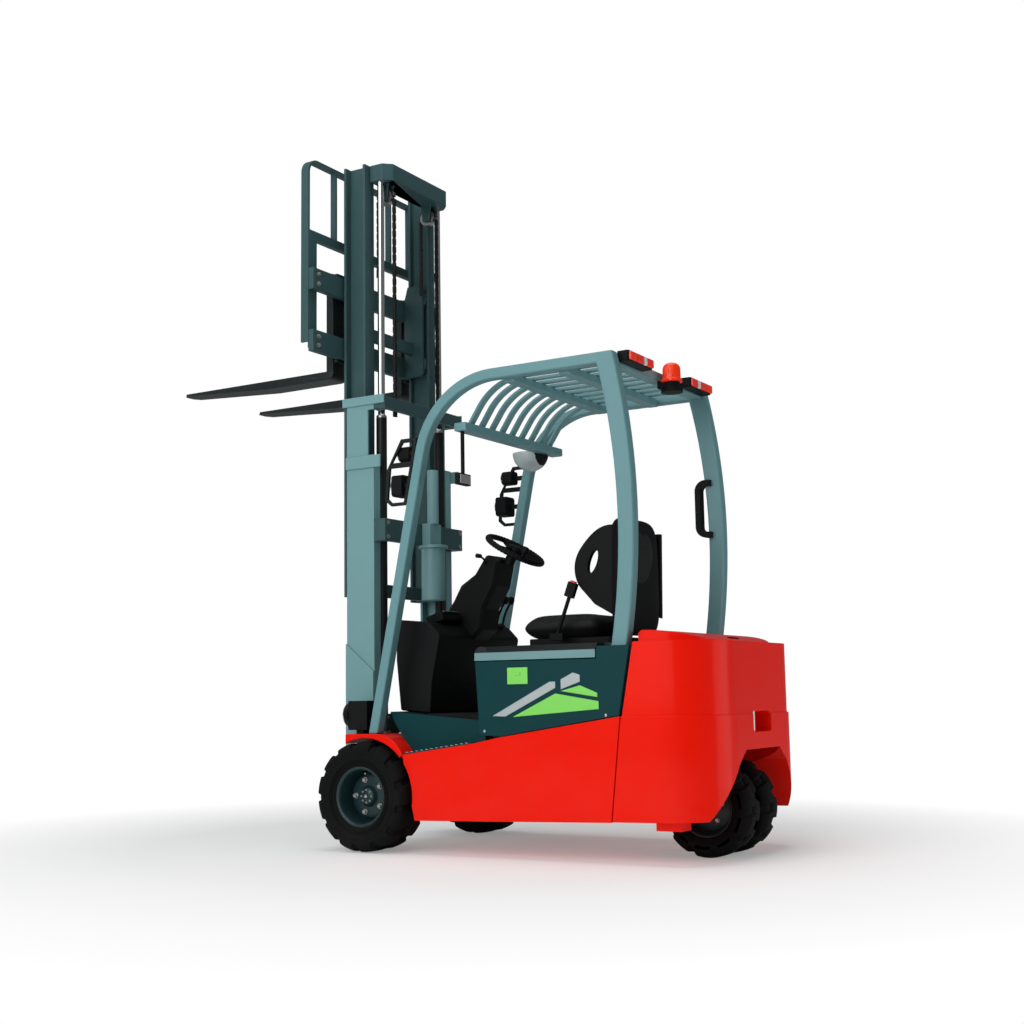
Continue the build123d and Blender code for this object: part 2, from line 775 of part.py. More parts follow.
# Plates on the outer rails: foot doubler, cylinder bracket and top clamp
with BuildPart() as rail_plate:
    for points in (
        [(mast_front_x, mast_foot_z + 20), (mast_front_x, 880), (mast_rear_x, 756),
         (mast_rear_x, mast_foot_z + 60)],
        [(mast_rear_x - 40, 1662), (mast_front_x, 1662), (mast_front_x, 1718), (mast_rear_x - 40, 1718)],
        [(tie_rear_x, 1950), (mast_front_x + 18, 1950), (mast_front_x + 18, mast_top_z),
         (tie_rear_x, mast_top_z)],
    ):
        with BuildSketch(side_plane(mast_half_width + 9)):
            with BuildLine():
                Polyline(*points, close=True)
            make_face()
        extrude(amount=9)
save_both(rail_plate.part, "rail_plates")

# Cross ties behind the outer rails, with ears for the tilt cylinders on the lowest
with BuildPart() as outer_ties:
    for z_low, z_high in ((1928, 1984), (1330, 1430), (470, 570)):
        with Locations(((tie_front_x + tie_rear_x) / 2, 0, (z_low + z_high) / 2)):
            Box(tie_depth, 2 * mast_half_width, z_high - z_low)
        for side in (-1, 1):
            with Locations(((tie_front_x + mast_rear_x) / 2, side * rail_mid_y, (z_low + z_high) / 2)):
                Box(mast_rear_x - tie_front_x, rail_flange_width, z_high - z_low)
    for side in (-1, 1):
        for offset in (-26, 26):
            with BuildSketch(side_plane(side * tilt_cylinder_y + offset + 6)):
                with Locations((tilt_ear_x, tilt_eye_z)):
                    Circle(22)
                with Locations(((tilt_ear_x + tie_rear_x) / 2, tilt_eye_z)):
                    Rectangle(tie_rear_x - tilt_ear_x, 44)
            extrude(amount=12)
        with BuildSketch(side_plane(side * tilt_cylinder_y + 32)):
            with Locations((tilt_ear_x, tilt_eye_z)):
                Circle(tilt_pin_radius)
        extrude(amount=64)
save(outer_ties.part, "outer_ties")

# Lift cylinders: barrels on the outer mast, rods that carry the inner mast
gland = 40.0
with BuildPart() as lift_barrels:
    for side in (-1, 1):
        centre = (lift_cylinder_x, side * lift_cylinder_y)
        with BuildSketch(Plane.XY.offset(mast_foot_z + 20)):
            with Locations(centre):
                Circle(lift_barrel_radius)
        extrude(amount=lift_barrel_top_z - mast_foot_z - 20)
        with BuildSketch(Plane.XY.offset(mast_foot_z + 40)):
            with Locations(centre):
                Circle(lift_rod_radius + rod_bore_gap)
        extrude(amount=lift_barrel_top_z - gland - mast_foot_z - 40, mode=Mode.SUBTRACT)
        with BuildSketch(Plane.XY.offset(lift_barrel_top_z - gland)):
            with Locations(centre):
                Circle(lift_rod_radius + running_gap)
        extrude(amount=gland, mode=Mode.SUBTRACT)
        with BuildSketch(Plane.XY.offset(mast_foot_z + 4)):
            with Locations((lift_cylinder_x, side * (rail_tip_y - 28))):
                Rectangle(2 * lift_barrel_radius, 56)
        extrude(amount=16)
save(lift_barrels.part, "lift_barrels")
with BuildPart() as lift_rods:
    for side in (-1, 1):
        with BuildSketch(Plane.XY.offset(inner_bottom_z + 50)):
            with Locations((lift_cylinder_x, side * lift_cylinder_y)):
                Circle(lift_rod_radius)
        extrude(amount=inner_beam_bottom_z - inner_bottom_z - 50)
save(lift_rods.part, "lift_rods")

# Guide tube that hangs under the middle cross tie
with BuildPart() as guide_tube:
    tube_x = tie_rear_x - 30
    for low_z, height, radius in ((1078, 238, 55), (1316, 14, 68), (1430, 250, 26)):
        with BuildSketch(Plane.XY.offset(low_z)):
            with Locations((tube_x, -20)):
                Circle(radius)
        extrude(amount=height)
    with Locations((tube_x + 8, -20, 1380)):
        Box(44, 90, 100)
    add(outer_ties.part, mode=Mode.SUBTRACT)
save(guide_tube.part, "guide_tube")

# Inner rails: unequal I sections that run in the outer channels
with BuildPart() as inner_rail:
    with BuildSketch(Plane.XY.offset(inner_bottom_z)):
        for x in (inner_rear_x + inner_flange / 2, inner_front_x - inner_flange / 2):
            with Locations((x, (inner_outer_y + inner_inner_y) / 2)):
                Rectangle(inner_flange, inner_outer_y - inner_inner_y)
        with Locations((inner_rear_x + inner_depth / 2, inner_web_y)):
            Rectangle(inner_depth, inner_web)
    extrude(amount=inner_length)
save_both(inner_rail.part, "inner_rails")

# Head beam of the inner mast behind its rails, a low tie and the sheaves' cheek plates
sheave_z = inner_beam_bottom_z - sheave_radius - chain_thickness
with BuildPart() as inner_ties:
    with BuildSketch(Plane.XY.offset(inner_beam_bottom_z)):
        with BuildLine():
            Polyline(
                (inner_rear_x, 257), (head_rear_x + 40, 257), (head_rear_x, 220),
                (head_rear_x, -220), (head_rear_x + 40, -257), (inner_rear_x, -257), close=True,
            )
        make_face()
    extrude(amount=head_beam_height)
    for side in (-1, 1):
        for offset in (-20, 20):
            with BuildSketch(side_plane(side * sheave_y + offset + 4)):
                with BuildLine():
                    Polyline(
                        (sheave_x - 30, inner_beam_bottom_z), (sheave_x + 30, inner_beam_bottom_z),
                        (sheave_x + 20, sheave_z - 22), (sheave_x - 20, sheave_z - 22), close=True,
                    )
                make_face()
            extrude(amount=8)
    with Locations((inner_rear_x + inner_flange + 14, 0, inner_bottom_z + 32)):
        Box(24, 2 * (inner_web_y - inner_web / 2), 60)
save(inner_ties.part, "inner_ties")

with BuildPart() as sheaves:
    for side in (-1, 1):
        with BuildSketch(side_plane(side * sheave_y + sheave_width / 2)):
            with Locations((sheave_x, sheave_z)):
                Circle(sheave_radius - chain_thickness / 2)
        extrude(amount=sheave_width)
        with BuildSketch(side_plane(side * sheave_y + 16)):
            with Locations((sheave_x, sheave_z)):
                Circle(12)
        extrude(amount=32)
save(sheaves.part, "sheaves")

# Lift chains: stepped leaf links, down behind the sheave to the outer mast and in front of it
chain_ends = ((sheave_x - sheave_radius, 1900.0), (sheave_x + sheave_radius, 2560.0))
with BuildPart() as lift_chains:
    for side in (-1, 1):
        with BuildSketch(side_plane(side * sheave_y + chain_width / 2)):
            with Locations((sheave_x, sheave_z)):
                Circle(sheave_radius + chain_thickness / 2)
            with Locations((sheave_x, sheave_z - 100)):
                Rectangle(4 * sheave_radius, 200, mode=Mode.SUBTRACT)
            with Locations((sheave_x, sheave_z)):
                Circle(sheave_radius - chain_thickness / 2, mode=Mode.SUBTRACT)
        extrude(amount=chain_width)
        for x, end_z in chain_ends:
            links = int((sheave_z - end_z) / chain_pitch)
            with BuildSketch(Plane.YZ.offset(x - chain_thickness / 2)):
                with Locations((side * sheave_y, (sheave_z + end_z) / 2)):
                    Rectangle(chain_waist, sheave_z - end_z)
                for index in range(links):
                    z = sheave_z - chain_pitch * (index + 0.5)
                    with Locations((side * sheave_y, z)):
                        Rectangle(chain_width, 0.62 * chain_pitch)
            extrude(amount=chain_thickness)
save(lift_chains.part, "lift_chains")

# Carriage: two side plates with rollers in the inner rails, and a tie between them
plate_low_z = fork_bar_low_z
plate_high_z = fork_bar_high_z + fork_bar_height + 68
roller_radius = (inner_depth - 2 * inner_flange) / 2 - 1.0
roller_outer_y = inner_web_y - inner_web / 2 - 2
with BuildPart() as carriage_plates:
    for side in (-1, 1):
        plate_y = carriage_plate_outer_y if side > 0 else carriage_plate - carriage_plate_outer_y
        with BuildSketch(side_plane(plate_y)):
            with BuildLine():
                Polyline(
                    (fork_bar_rear_x, plate_low_z), (fork_bar_rear_x, fork_bar_high_z + fork_bar_height),
                    (fork_bar_rear_x - 20, plate_high_z), (inner_rear_x + 40, plate_high_z),
                    (inner_rear_x + 24, plate_high_z - 30), (inner_rear_x + 24, plate_low_z + 10),
                    (inner_rear_x + 34, plate_low_z), close=True,
                )
            make_face()
        extrude(amount=carriage_plate)
        for z in (plate_low_z + 60, plate_high_z - 70):
            roller_y = roller_outer_y if side > 0 else -carriage_plate_outer_y
            with BuildSketch(side_plane(roller_y)):
                with Locations((inner_rear_x + inner_depth / 2, z)):
                    Circle(roller_radius)
            extrude(amount=roller_outer_y - carriage_plate_outer_y)
    with Locations((fork_bar_rear_x - 40, 0, plate_low_z + 140)):
        Box(20, 2 * (carriage_plate_outer_y - carriage_plate), 60)
save(carriage_plates.part, "carriage_plates")

# Fork bars across the front of the carriage, with end plates that carry the backrest
with BuildPart() as fork_bars:
    for z_low in (fork_bar_low_z, fork_bar_high_z):
        with Locations((fork_bar_rear_x + fork_bar_depth / 2, 0, z_low + fork_bar_height / 2)):
            Box(fork_bar_depth, 2 * carriage_half_width, fork_bar_height)
save(fork_bars.part, "fork_bars")

# Load backrest: a bent outer bar, a middle bar, uprights and side plates bolted to the bars
inner_half = carriage_half_width - backrest_bar
middle_top_z = backrest_middle_z + 20
with BuildPart() as backrest:
    with BuildSketch(Plane.YZ.offset(fork_rear_x)):
        half = carriage_half_width - backrest_bar / 2
        with BuildLine():
            FilletPolyline(
                (-half, backrest_bottom_z), (-half, backrest_top_z - backrest_bar / 2),
                (half, backrest_top_z - backrest_bar / 2), (half, backrest_bottom_z),
                radius=backrest_corner_radius,
            )
        trace(line_width=backrest_bar)
    extrude(amount=backrest_bar_depth)
    with Locations((fork_rear_x + 15, 0, backrest_middle_z)):
        Box(30, 2 * inner_half, 40)
    for y in (-300, -130, 130, 300):
        with Locations((fork_rear_x + 15, y, (middle_top_z + backrest_top_z - backrest_bar) / 2)):
            Box(30, 12, backrest_top_z - backrest_bar - middle_top_z)
    for side in (-1, 1):
        low_z = fork_bar_low_z + 20
        with Locations((fork_rear_x + 6, side * (inner_half - 25), (low_z + middle_top_z) / 2)):
            Box(12, 50, middle_top_z - low_z)
save(backrest.part, "backrest")


# Forks: an upright shank hooked over the bars and a tapered blade
def fork():
    blade_top_z = fork_bottom_z + fork_thickness
    shank_top_z = fork_bar_high_z + fork_bar_height + 18
    with BuildPart() as piece:
        with BuildSketch(side_plane(fork_y + fork_width / 2)):
            with BuildLine():
                Polyline(
                    (fork_tip_x, blade_top_z),
                    (fork_front_x, blade_top_z),
                    (fork_front_x, shank_top_z),
                    (fork_rear_x, shank_top_z),
                    (fork_rear_x, fork_bottom_z + 34),
                )
                TangentArc(
                    (fork_rear_x, fork_bottom_z + 34), (fork_rear_x + 34, fork_bottom_z),
                    tangent=(0, -1),
                )
                Polyline(
                    (fork_rear_x + 34, fork_bottom_z),
                    (fork_front_x + 0.4 * fork_length, fork_bottom_z),
                    (fork_tip_x, blade_top_z - 9),
                    (fork_tip_x, blade_top_z),
                )
            make_face()
        extrude(amount=fork_width)
        chamfer(piece.edges().filter_by(Axis.Z).group_by(Axis.X)[-1], 30)
        for z in (shank_top_z - 7, fork_bar_low_z - 7):
            with Locations((fork_rear_x - 9, fork_y, z)):
                Box(18, fork_width - 20, 14)
    return piece.part


save_pair(fork(), "fork")

# Tilt cylinders, one at each side under the floor
tilt_run_x = tilt_ear_x - tilt_base_x
tilt_run_z = tilt_eye_z - tilt_base_z
tilt_length = hypot(tilt_run_x, tilt_run_z)
tilt_plane = Plane(
    origin=(tilt_base_x, 0, tilt_base_z),
    x_dir=(0, 1, 0),
    z_dir=(tilt_run_x / tilt_length, 0, tilt_run_z / tilt_length),
)
base_pin_radius = tilt_pin_radius + 1
with BuildPart() as tilt_barrels:
    for side in (-1, 1):
        y = side * tilt_cylinder_y
        with BuildSketch(tilt_plane.offset(24)):
            with Locations((y, 0)):
                Circle(tilt_barrel_radius)
        extrude(amount=tilt_barrel_length - 24)
        with BuildSketch(side_plane(y + 16)):
            with Locations((tilt_base_x, tilt_base_z)):
                Circle(28)
        extrude(amount=32)
        with BuildSketch(tilt_plane.offset(60)):
            with Locations((y, 0)):
                Circle(tilt_rod_radius + rod_bore_gap)
        extrude(amount=tilt_barrel_length - 90, mode=Mode.SUBTRACT)
        with BuildSketch(tilt_plane.offset(tilt_barrel_length - 31)):
            with Locations((y, 0)):
                Circle(tilt_rod_radius + running_gap)
        extrude(amount=40, mode=Mode.SUBTRACT)
        with BuildSketch(side_plane(y + 40)):
            with Locations((tilt_base_x, tilt_base_z)):
                Circle(base_pin_radius + running_gap)
        extrude(amount=80, mode=Mode.SUBTRACT)
save(tilt_barrels.part, "tilt_barrels")
with BuildPart() as tilt_rods:
    for side in (-1, 1):
        y = side * tilt_cylinder_y
        with BuildSketch(tilt_plane.offset(130)):
            with Locations((y, 0)):
                Circle(tilt_rod_radius)
        extrude(amount=tilt_length - 150)
        with BuildSketch(side_plane(y + 13)):
            with Locations((tilt_ear_x, tilt_eye_z)):
                Circle(tilt_eye_radius)
        extrude(amount=26)
        with BuildSketch(side_plane(y + 20)):
            with Locations((tilt_ear_x, tilt_eye_z)):
                Circle(tilt_pin_radius + 4)
        extrude(amount=40, mode=Mode.SUBTRACT)
save(tilt_rods.part, "tilt_rods")

# Brackets that hold the tilt cylinders' rear pins on the frame
with BuildPart() as tilt_brackets:
    for side in (-1, 1):
        y = side * tilt_cylinder_y
        for offset in (-42, 42):
            with BuildSketch(side_plane(y + offset + 6)):
                with BuildLine():
                    Polyline(
                        (tilt_base_x - 40, body_bottom_z + 12), (tilt_base_x + 40, body_bottom_z + 12),
                        (tilt_base_x + 24, tilt_base_z + 24), (tilt_base_x - 24, tilt_base_z + 24),
                        close=True,
                    )
                make_face()
            extrude(amount=12)
        with BuildSketch(side_plane(y + 48)):
            with Locations((tilt_base_x, tilt_base_z)):
                Circle(base_pin_radius)
        extrude(amount=96)
save(tilt_brackets.part, "tilt_brackets")

# Cowl in front of the driver, as wide as the floor between the mast and the pedals
cowl_half = 330.0
with BuildPart() as cowl:
    with BuildSketch(side_plane(cowl_half)):
        with BuildLine():
            FilletPolyline(
                (floor_front_x, floor_front_z + 4), (-50, 800), (-52, 976), (-225, 956),
                (-280, 900), (-236, 700), (-226, floor_front_z - 10), radius=24,
            )
            Line((-226, floor_front_z - 10), (floor_front_x, floor_front_z + 4))
        make_face()
    extrude(amount=2 * cowl_half)
    add(floor_plate, mode=Mode.SUBTRACT)
save(cowl.part, "cowl")

# Steering column: a humped housing out of the cowl and a short tube to the wheel's hub
wheel_axis = (-sin(radians(wheel_tilt)), 0, cos(radians(wheel_tilt)))
wheel_plane = Plane(origin=wheel_centre, x_dir=(0, 1, 0), z_dir=wheel_axis)
column_half = 74.0
hub_half = 22.0
with BuildPart() as steering_column:
    with BuildSketch(side_plane(column_half)):
        with BuildLine():
            FilletPolyline(
                (-90, 940), (-150, 1030), (-175, 1062), (-215, 1130), (-290, 1176), (-352, 1262),
                (-426, 1236), (-400, 1120), (-340, 1020), (-330, 930), (-270, 880), radius=20,
            )
            Line((-270, 880), (-90, 940))
        make_face()
    extrude(amount=2 * column_half)
    chamfer(steering_column.edges().filter_by(lambda e: abs(abs(e.center().Y) - column_half) < 1), 16)
    with BuildSketch(wheel_plane.offset(-70)):
        Circle(24)
    extrude(amount=70 - hub_half - turning_gap)
    add(cowl.part, mode=Mode.SUBTRACT)
save(steering_column.part.solids().sort_by(Axis.Z)[-1], "steering_column")

# Steering wheel: round rim, three flat spokes and a hub
rim_section = Plane(
    origin=wheel_centre,
    x_dir=(cos(radians(wheel_tilt)), 0, sin(radians(wheel_tilt))),
    z_dir=(0, -1, 0),
)
with BuildPart() as steering_wheel:
    with BuildSketch(wheel_plane):
        Circle(38)
    extrude(amount=hub_half, both=True)
    with BuildSketch(wheel_plane):
        with PolarLocations(wheel_radius / 2 + 8, 3, start_angle=90):
            Rectangle(wheel_radius - 36, 26)
    extrude(amount=5, both=True)
    with BuildSketch(rim_section):
        with Locations((wheel_radius, 0)):
            RegularPolygon(13, 8)
    revolve(axis=Axis(wheel_centre, wheel_axis))
save(steering_wheel.part, "steering_wheel")

# Pedals on the floor's ramp
with BuildPart() as pedals:
    for y, width in ((-170, 70), (-60, 110)):
        with Locations(Location((-330, y, 640), (0, -35, 0))):
            Box(110, width, 14)
        with Locations((-330, y, 600)):
            Box(20, 20, 84)
    add(floor_plate, mode=Mode.SUBTRACT)
with BuildPart() as pedal_set:
    for solid in pedals.part.solids():
        if solid.center().Z > floor_rear_z + 30:
            add(solid)
save(pedal_set.part, "pedals")

# Seat on the hood: suspension box, cushion, back and the two wings
seat_foot_z = hood_top_z
with BuildPart() as seat_base:
    with BuildSketch(Plane.XY.offset(seat_foot_z + 0.5)):
        with Locations((seat_front_x - 224, 0)):
            RectangleRounded(400, 380, 30)
    extrude(amount=34)
    add(hood.part, mode=Mode.SUBTRACT)
save(seat_base.part, "seat_base")
with BuildPart() as seat_cushion:
    with BuildSketch(side_plane(seat_half_width + 12)):
        with BuildLine():
            Spline(
                (seat_front_x - 8, 888), (seat_front_x, 930), (seat_front_x - 40, 962),
                (seat_front_x - 194, 974), (seat_rear_x + 88, 974),
            )
            Polyline(
                (seat_rear_x + 88, 974), (seat_rear_x + 88, 876), (seat_front_x - 24, 876),
                (seat_front_x - 8, 888),
            )
        make_face()
    extrude(amount=2 * seat_half_width + 24)
save(seat_cushion.part, "seat_cushion")
back_half = seat_half_width - 10
with BuildPart() as seat_back:
    with BuildSketch(side_plane(back_half)):
        with BuildLine():
            Polyline((seat_rear_x + 8, 876), (seat_rear_x + 82, 876), (seat_rear_x + 86, 1000))
            Spline(
                (seat_rear_x + 86, 1000), (seat_rear_x + 84, 1150), (seat_rear_x + 66, 1320),
                (seat_rear_x + 40, 1372), (seat_rear_x + 10, 1340),
            )
            Spline((seat_rear_x + 10, 1340), (seat_rear_x, 1180), (seat_rear_x + 8, 876))
        make_face()
    extrude(amount=2 * back_half)
    with BuildSketch(Plane.YZ.offset(seat_rear_x - 40)):
        with BuildLine():
            FilletPolyline(
                (-back_half, 870), (-back_half, 1376), (back_half, 1376), (back_half, 870),
                radius=95,
            )
            Line((back_half, 870), (-back_half, 870))
        make_face()
    extrude(amount=200, mode=Mode.INTERSECT)
save(seat_back.part, "seat_back")
with BuildPart() as hip_wings:
    for side in (-1, 1):
        y_outer = back_half + 24 if side > 0 else -back_half
        with BuildSketch(side_plane(y_outer)):
            with BuildLine():
                Spline(
                    (seat_rear_x + 6, 1326), (seat_rear_x + 64, 1316), (seat_rear_x + 126, 1270),
                    (seat_rear_x + 179, 1190), (seat_rear_x + 176, 1108), (seat_rear_x + 144, 1060),
                )
                Polyline(
                    (seat_rear_x + 144, 1060), (seat_rear_x + 94, 1005), (seat_rear_x + 14, 960),
                    (seat_rear_x + 6, 1326),
                )
            make_face()
            with Locations(Location((seat_rear_x + 98, 1180), 20)):
                Ellipse(19, 50, mode=Mode.SUBTRACT)
        extrude(amount=24)
save(hip_wings.part, "hip_wings")
stalk_x = seat_front_x - 209
with BuildPart() as belt_stalk:
    with BuildSketch(Plane(origin=(stalk_x, 262, 880), x_dir=(0, 1, 0), z_dir=(-0.36, 0, 0.93))):
        Circle(8)
    extrude(amount=190)
    with Locations(Location((stalk_x - 71, 262, 1066), (0, -21, 0))):
        Box(40, 24, 62)
    with Locations((stalk_x, 252, 876)):
        Box(60, 40, 30)
    add(seat_cushion.part, mode=Mode.SUBTRACT)
save(belt_stalk.part.solids().sort_by(Axis.Z)[-1], "belt_stalk")


# Wheels: a carcass and rim by revolving, and staggered lugs round the tread
def tyre(radius, width, rim_radius, lugs):
    half = width / 2
    with BuildPart() as piece:
        with BuildSketch(Plane.XY):
            with BuildLine():
                Polyline(
                    (rim_radius, -half + 12), (rim_radius + 26, -half + 2), (radius - 34, -half),
                    (radius - lug_depth, -half + 20), (radius - lug_depth, half - 20),
                    (radius - 34, half), (rim_radius + 26, half - 2), (rim_radius, half - 12),
                    close=True,
                )
            make_face()
        revolve(axis=Axis.Y)
        step_angle = 360 / lugs
        for side in (-1, 1):
            start = step_angle / 2 if side > 0 else 0
            with BuildSketch(side_plane(half - 4 if side > 0 else 8)):
                with PolarLocations(radius - lug_depth - 3, lugs, start_angle=start):
                    Trapezoid(
                        2 * lug_depth + 6, radius * 0.21, 82, rotation=90,
                    )
            extrude(amount=half + 4)
        # The tread's crown
        with BuildSketch(side_plane(half + 1)):
            Circle(2 * radius)
            Circle(radius, mode=Mode.SUBTRACT)
        extrude(amount=width + 2, mode=Mode.SUBTRACT)
    return piece.part


def rim(radius, width, hub_radius, hub_inset):
    half = width / 2
    with BuildPart() as piece:
        with BuildSketch(Plane.XY):
            with BuildLine():
                Polyline(
                    (0, -hub_inset), (hub_radius, -hub_inset), (hub_radius, -half + 14),
                    (radius, -half + 12), (radius, half - 12), (radius - 9, half - 10),
                    (radius - 24, half - 52), (hub_radius + 16, half - 60),
                    (hub_radius + 6, half - 46), (0, half - 46), close=True,
                )
            make_face()
        revolve(axis=Axis.Y)
    return piece.part


front_tyre = tyre(front_tyre_radius, front_tyre_width, front_rim_radius, front_lugs)
front_rim = rim(front_rim_radius, front_tyre_width, 60, front_hub_inset)
left_hub = Location((0, front_tyre_y, axle_z))
save_pair(front_tyre.moved(left_hub), "front_tyre")
save_pair(front_rim.moved(left_hub), "front_rim")

# Steered twin wheels on a slim gear housing under the counterweight
rear_tyre = tyre(rear_tyre_radius, rear_tyre_width, rear_rim_radius, rear_lugs)
rear_rim = rim(rear_rim_radius, rear_tyre_width, 46, rear_tyre_width / 2 - 24)
rear_hub = Location((steer_x, rear_tyre_y, rear_tyre_radius))
for shape, label in ((rear_tyre, "rear_tyres"), (rear_rim, "rear_rims")):
    save_both(shape.moved(rear_hub), label)
with BuildPart() as steer_unit:
    with BuildSketch(side_plane(steer_housing_width / 2)):
        with BuildLine():
            FilletPolyline(
                (steer_x + 60, well_top_z - 24), (steer_x + 60, rear_tyre_radius - 46),
                (steer_x - 60, rear_tyre_radius - 46), (steer_x - 60, well_top_z - 24), radius=40,
            )
            Line((steer_x - 60, well_top_z - 24), (steer_x + 60, well_top_z - 24))
        make_face()
    extrude(amount=steer_housing_width)
    with BuildSketch(Plane.XY.offset(well_top_z - 24)):
        with Locations((steer_x, 0)):
            Circle(110)
    extrude(amount=24 - turning_gap)
save(steer_unit.part, "steer_unit")
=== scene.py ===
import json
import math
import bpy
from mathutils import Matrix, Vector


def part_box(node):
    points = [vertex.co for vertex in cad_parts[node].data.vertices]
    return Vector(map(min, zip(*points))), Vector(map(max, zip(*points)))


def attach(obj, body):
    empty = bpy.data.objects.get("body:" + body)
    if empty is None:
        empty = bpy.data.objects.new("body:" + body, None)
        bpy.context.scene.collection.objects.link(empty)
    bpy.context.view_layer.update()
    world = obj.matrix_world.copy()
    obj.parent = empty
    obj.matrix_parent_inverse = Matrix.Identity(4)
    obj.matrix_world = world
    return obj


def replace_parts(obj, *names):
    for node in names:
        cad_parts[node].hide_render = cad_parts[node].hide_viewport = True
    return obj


bl_info = {
    "name": "Three-wheel forklift",
    "version": (1, 0, 0),
    "blender": (4, 5, 0),
    "location": "3D View > Sidebar > Forklift",
    "description": "Dresses the packed forklift with tyres, seat, lamps, chains, trim and finishes",
    "category": "Object",
}

import bmesh
import bpy
import numpy as np
from mathutils import Matrix

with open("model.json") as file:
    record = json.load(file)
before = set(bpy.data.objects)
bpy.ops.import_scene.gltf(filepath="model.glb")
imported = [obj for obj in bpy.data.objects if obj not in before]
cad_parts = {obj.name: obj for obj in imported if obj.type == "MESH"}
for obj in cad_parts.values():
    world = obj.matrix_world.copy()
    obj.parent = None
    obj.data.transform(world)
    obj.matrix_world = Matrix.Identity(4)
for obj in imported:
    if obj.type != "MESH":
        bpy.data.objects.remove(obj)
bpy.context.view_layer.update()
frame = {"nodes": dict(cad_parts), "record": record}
BODY_OF = {node: body for body, nodes in frame["record"]["behaviour"]["bodies"].items() for node in nodes}

FRONT_AXLE = 0.1765  # the front axle's place along X in the shared frame, in metres
SIDES = (-1.0, 1.0)  # the truck's right and left
FLOOR_LINE = (-0.551 + FRONT_AXLE, 0.54, 0.04 / 0.479)  # the sloping floor: x, its height there, slope
STEP_LINE = (-189, 408.4, -47 / 349)  # the steps in millimetres: x, its height there, slope
PILLAR_LINE = (488, -3, -315 / 1502)  # the guard's front pillars in millimetres: height, x there, slope
BODY_SIDE = 490  # from the middle to the body's side, in millimetres
FRONT_WHEELS = (("left", 1.0), ("right", -1.0))


# ---- Shapes ----

def place(points):
    """Points in millimetres from the front axle and the floor, moved to the shared frame in metres."""
    return np.atleast_2d(np.asarray(points, float)) / 1000 + np.array([FRONT_AXLE, 0, 0])


def at(x, y, z):
    """One point, moved in the same way."""
    return place((x, y, z))[0]


def on_line(value, start, there, slope):
    """Where a straight line is at a value: where it is at the start, plus the slope times the rest."""
    return there + (value - start) * slope


def circle(steps):
    """Equal angles once round, the first one zero."""
    return np.linspace(0, 2 * math.pi, steps, endpoint=False)


def grid_faces(rows, columns, wrap_rows=False, wrap_columns=False):
    """Four-sided faces of a grid: point (i, j) joins (i+1, j), (i+1, j+1) and (i, j+1), with
    the last row or column joined to the first where it wraps."""
    i = np.arange(rows if wrap_rows else rows - 1)
    j = np.arange(columns if wrap_columns else columns - 1)
    i, j = np.meshgrid(i, j, indexing="ij")
    i2, j2 = (i + 1) % rows, (j + 1) % columns
    corners = (i * columns + j, i2 * columns + j, i2 * columns + j2, i * columns + j2)
    return np.stack(corners, axis=-1).reshape(-1, 4)


def join_shapes(shapes):
    """Several (points, faces) pairs as one, each one's face numbers raised by the points before it."""
    faces, start = [], 0
    for shape_points, shape_faces in shapes:
        faces += [tuple(int(v) + start for v in face) for face in shape_faces]
        start += len(shape_points)
    return np.vstack([shape_points for shape_points, _ in shapes]), faces


def turned(profile, centre, axis="Y", steps=72):
    """A profile of (radius, distance along the axis) in millimetres, turned round the axis: each
    point goes to radius times the sine and cosine of the angle in the plane across the axis."""
    radius, along = (np.asarray(profile, float) / 1000).T[:, None, :]
    angle = circle(steps)[:, None]
    across_a, across_b = radius * np.cos(angle), radius * np.sin(angle)
    along = np.broadcast_to(along, across_a.shape)
    order = {"X": (along, across_a, across_b), "Y": (across_b, along, across_a), "Z": (across_a, across_b, along)}
    points = np.stack(order[axis], axis=-1).reshape(-1, 3) + np.asarray(centre, float)
    return points, grid_faces(steps, along.shape[1], wrap_rows=True)


def round_axle(centre, radius, offset, angle):
    """Points round an axle along Y: radius times the sine and cosine of each angle, at one offset."""
    return np.stack([radius * np.sin(angle), np.full(len(angle), offset), radius * np.cos(angle)], axis=-1) + centre


def smooth_path(points, count):
    """A Catmull-Rom curve through the points: in each span the place is the cubic that passes its
    two ends with slopes of half the distance between their neighbours."""
    points = np.asarray(points, float)
    padded = np.vstack([2 * points[0] - points[1], points, 2 * points[-1] - points[-2]])
    t = np.linspace(0, len(points) - 1, count)
    span = np.minimum(t.astype(int), len(points) - 2)
    u = (t - span)[:, None]
    a, b, c, d = (padded[span + k] for k in range(4))
    return 0.5 * (2 * b + (c - a) * u + (2 * a - 5 * b + 4 * c - d) * u**2 + (3 * b - a - 3 * c + d) * u**3)


def tube(path, radius, across=(0, 1, 0), sides=16, closed=False, flat=1.0):
    """A round or oval section carried along a path: each ring is the path's point plus radius
    times cosine of one cross direction and flat times radius times sine of the other."""
    path = np.asarray(path, float)
    along = np.roll(path, -1, axis=0) - np.roll(path, 1, axis=0) if closed else np.gradient(path, axis=0)
    along /= np.linalg.norm(along, axis=1, keepdims=True)
    side = np.cross(along, np.asarray(across, float))
    side /= np.linalg.norm(side, axis=1, keepdims=True)
    up = np.cross(side, along)
    angle = circle(sides)[None, :, None]
    ring = side[:, None, :] * np.cos(angle) + flat * up[:, None, :] * np.sin(angle)
    radius = np.broadcast_to(np.asarray(radius, float), (len(path),))
    points = (path[:, None, :] + ring * radius[:, None, None]).reshape(-1, 3)
    faces = [tuple(face) for face in grid_faces(len(path), sides, wrap_rows=closed, wrap_columns=True)]
    if not closed:
        faces += [tuple(range(sides)), tuple(range(len(points) - 1, len(points) - sides - 1, -1))]
    return points, faces


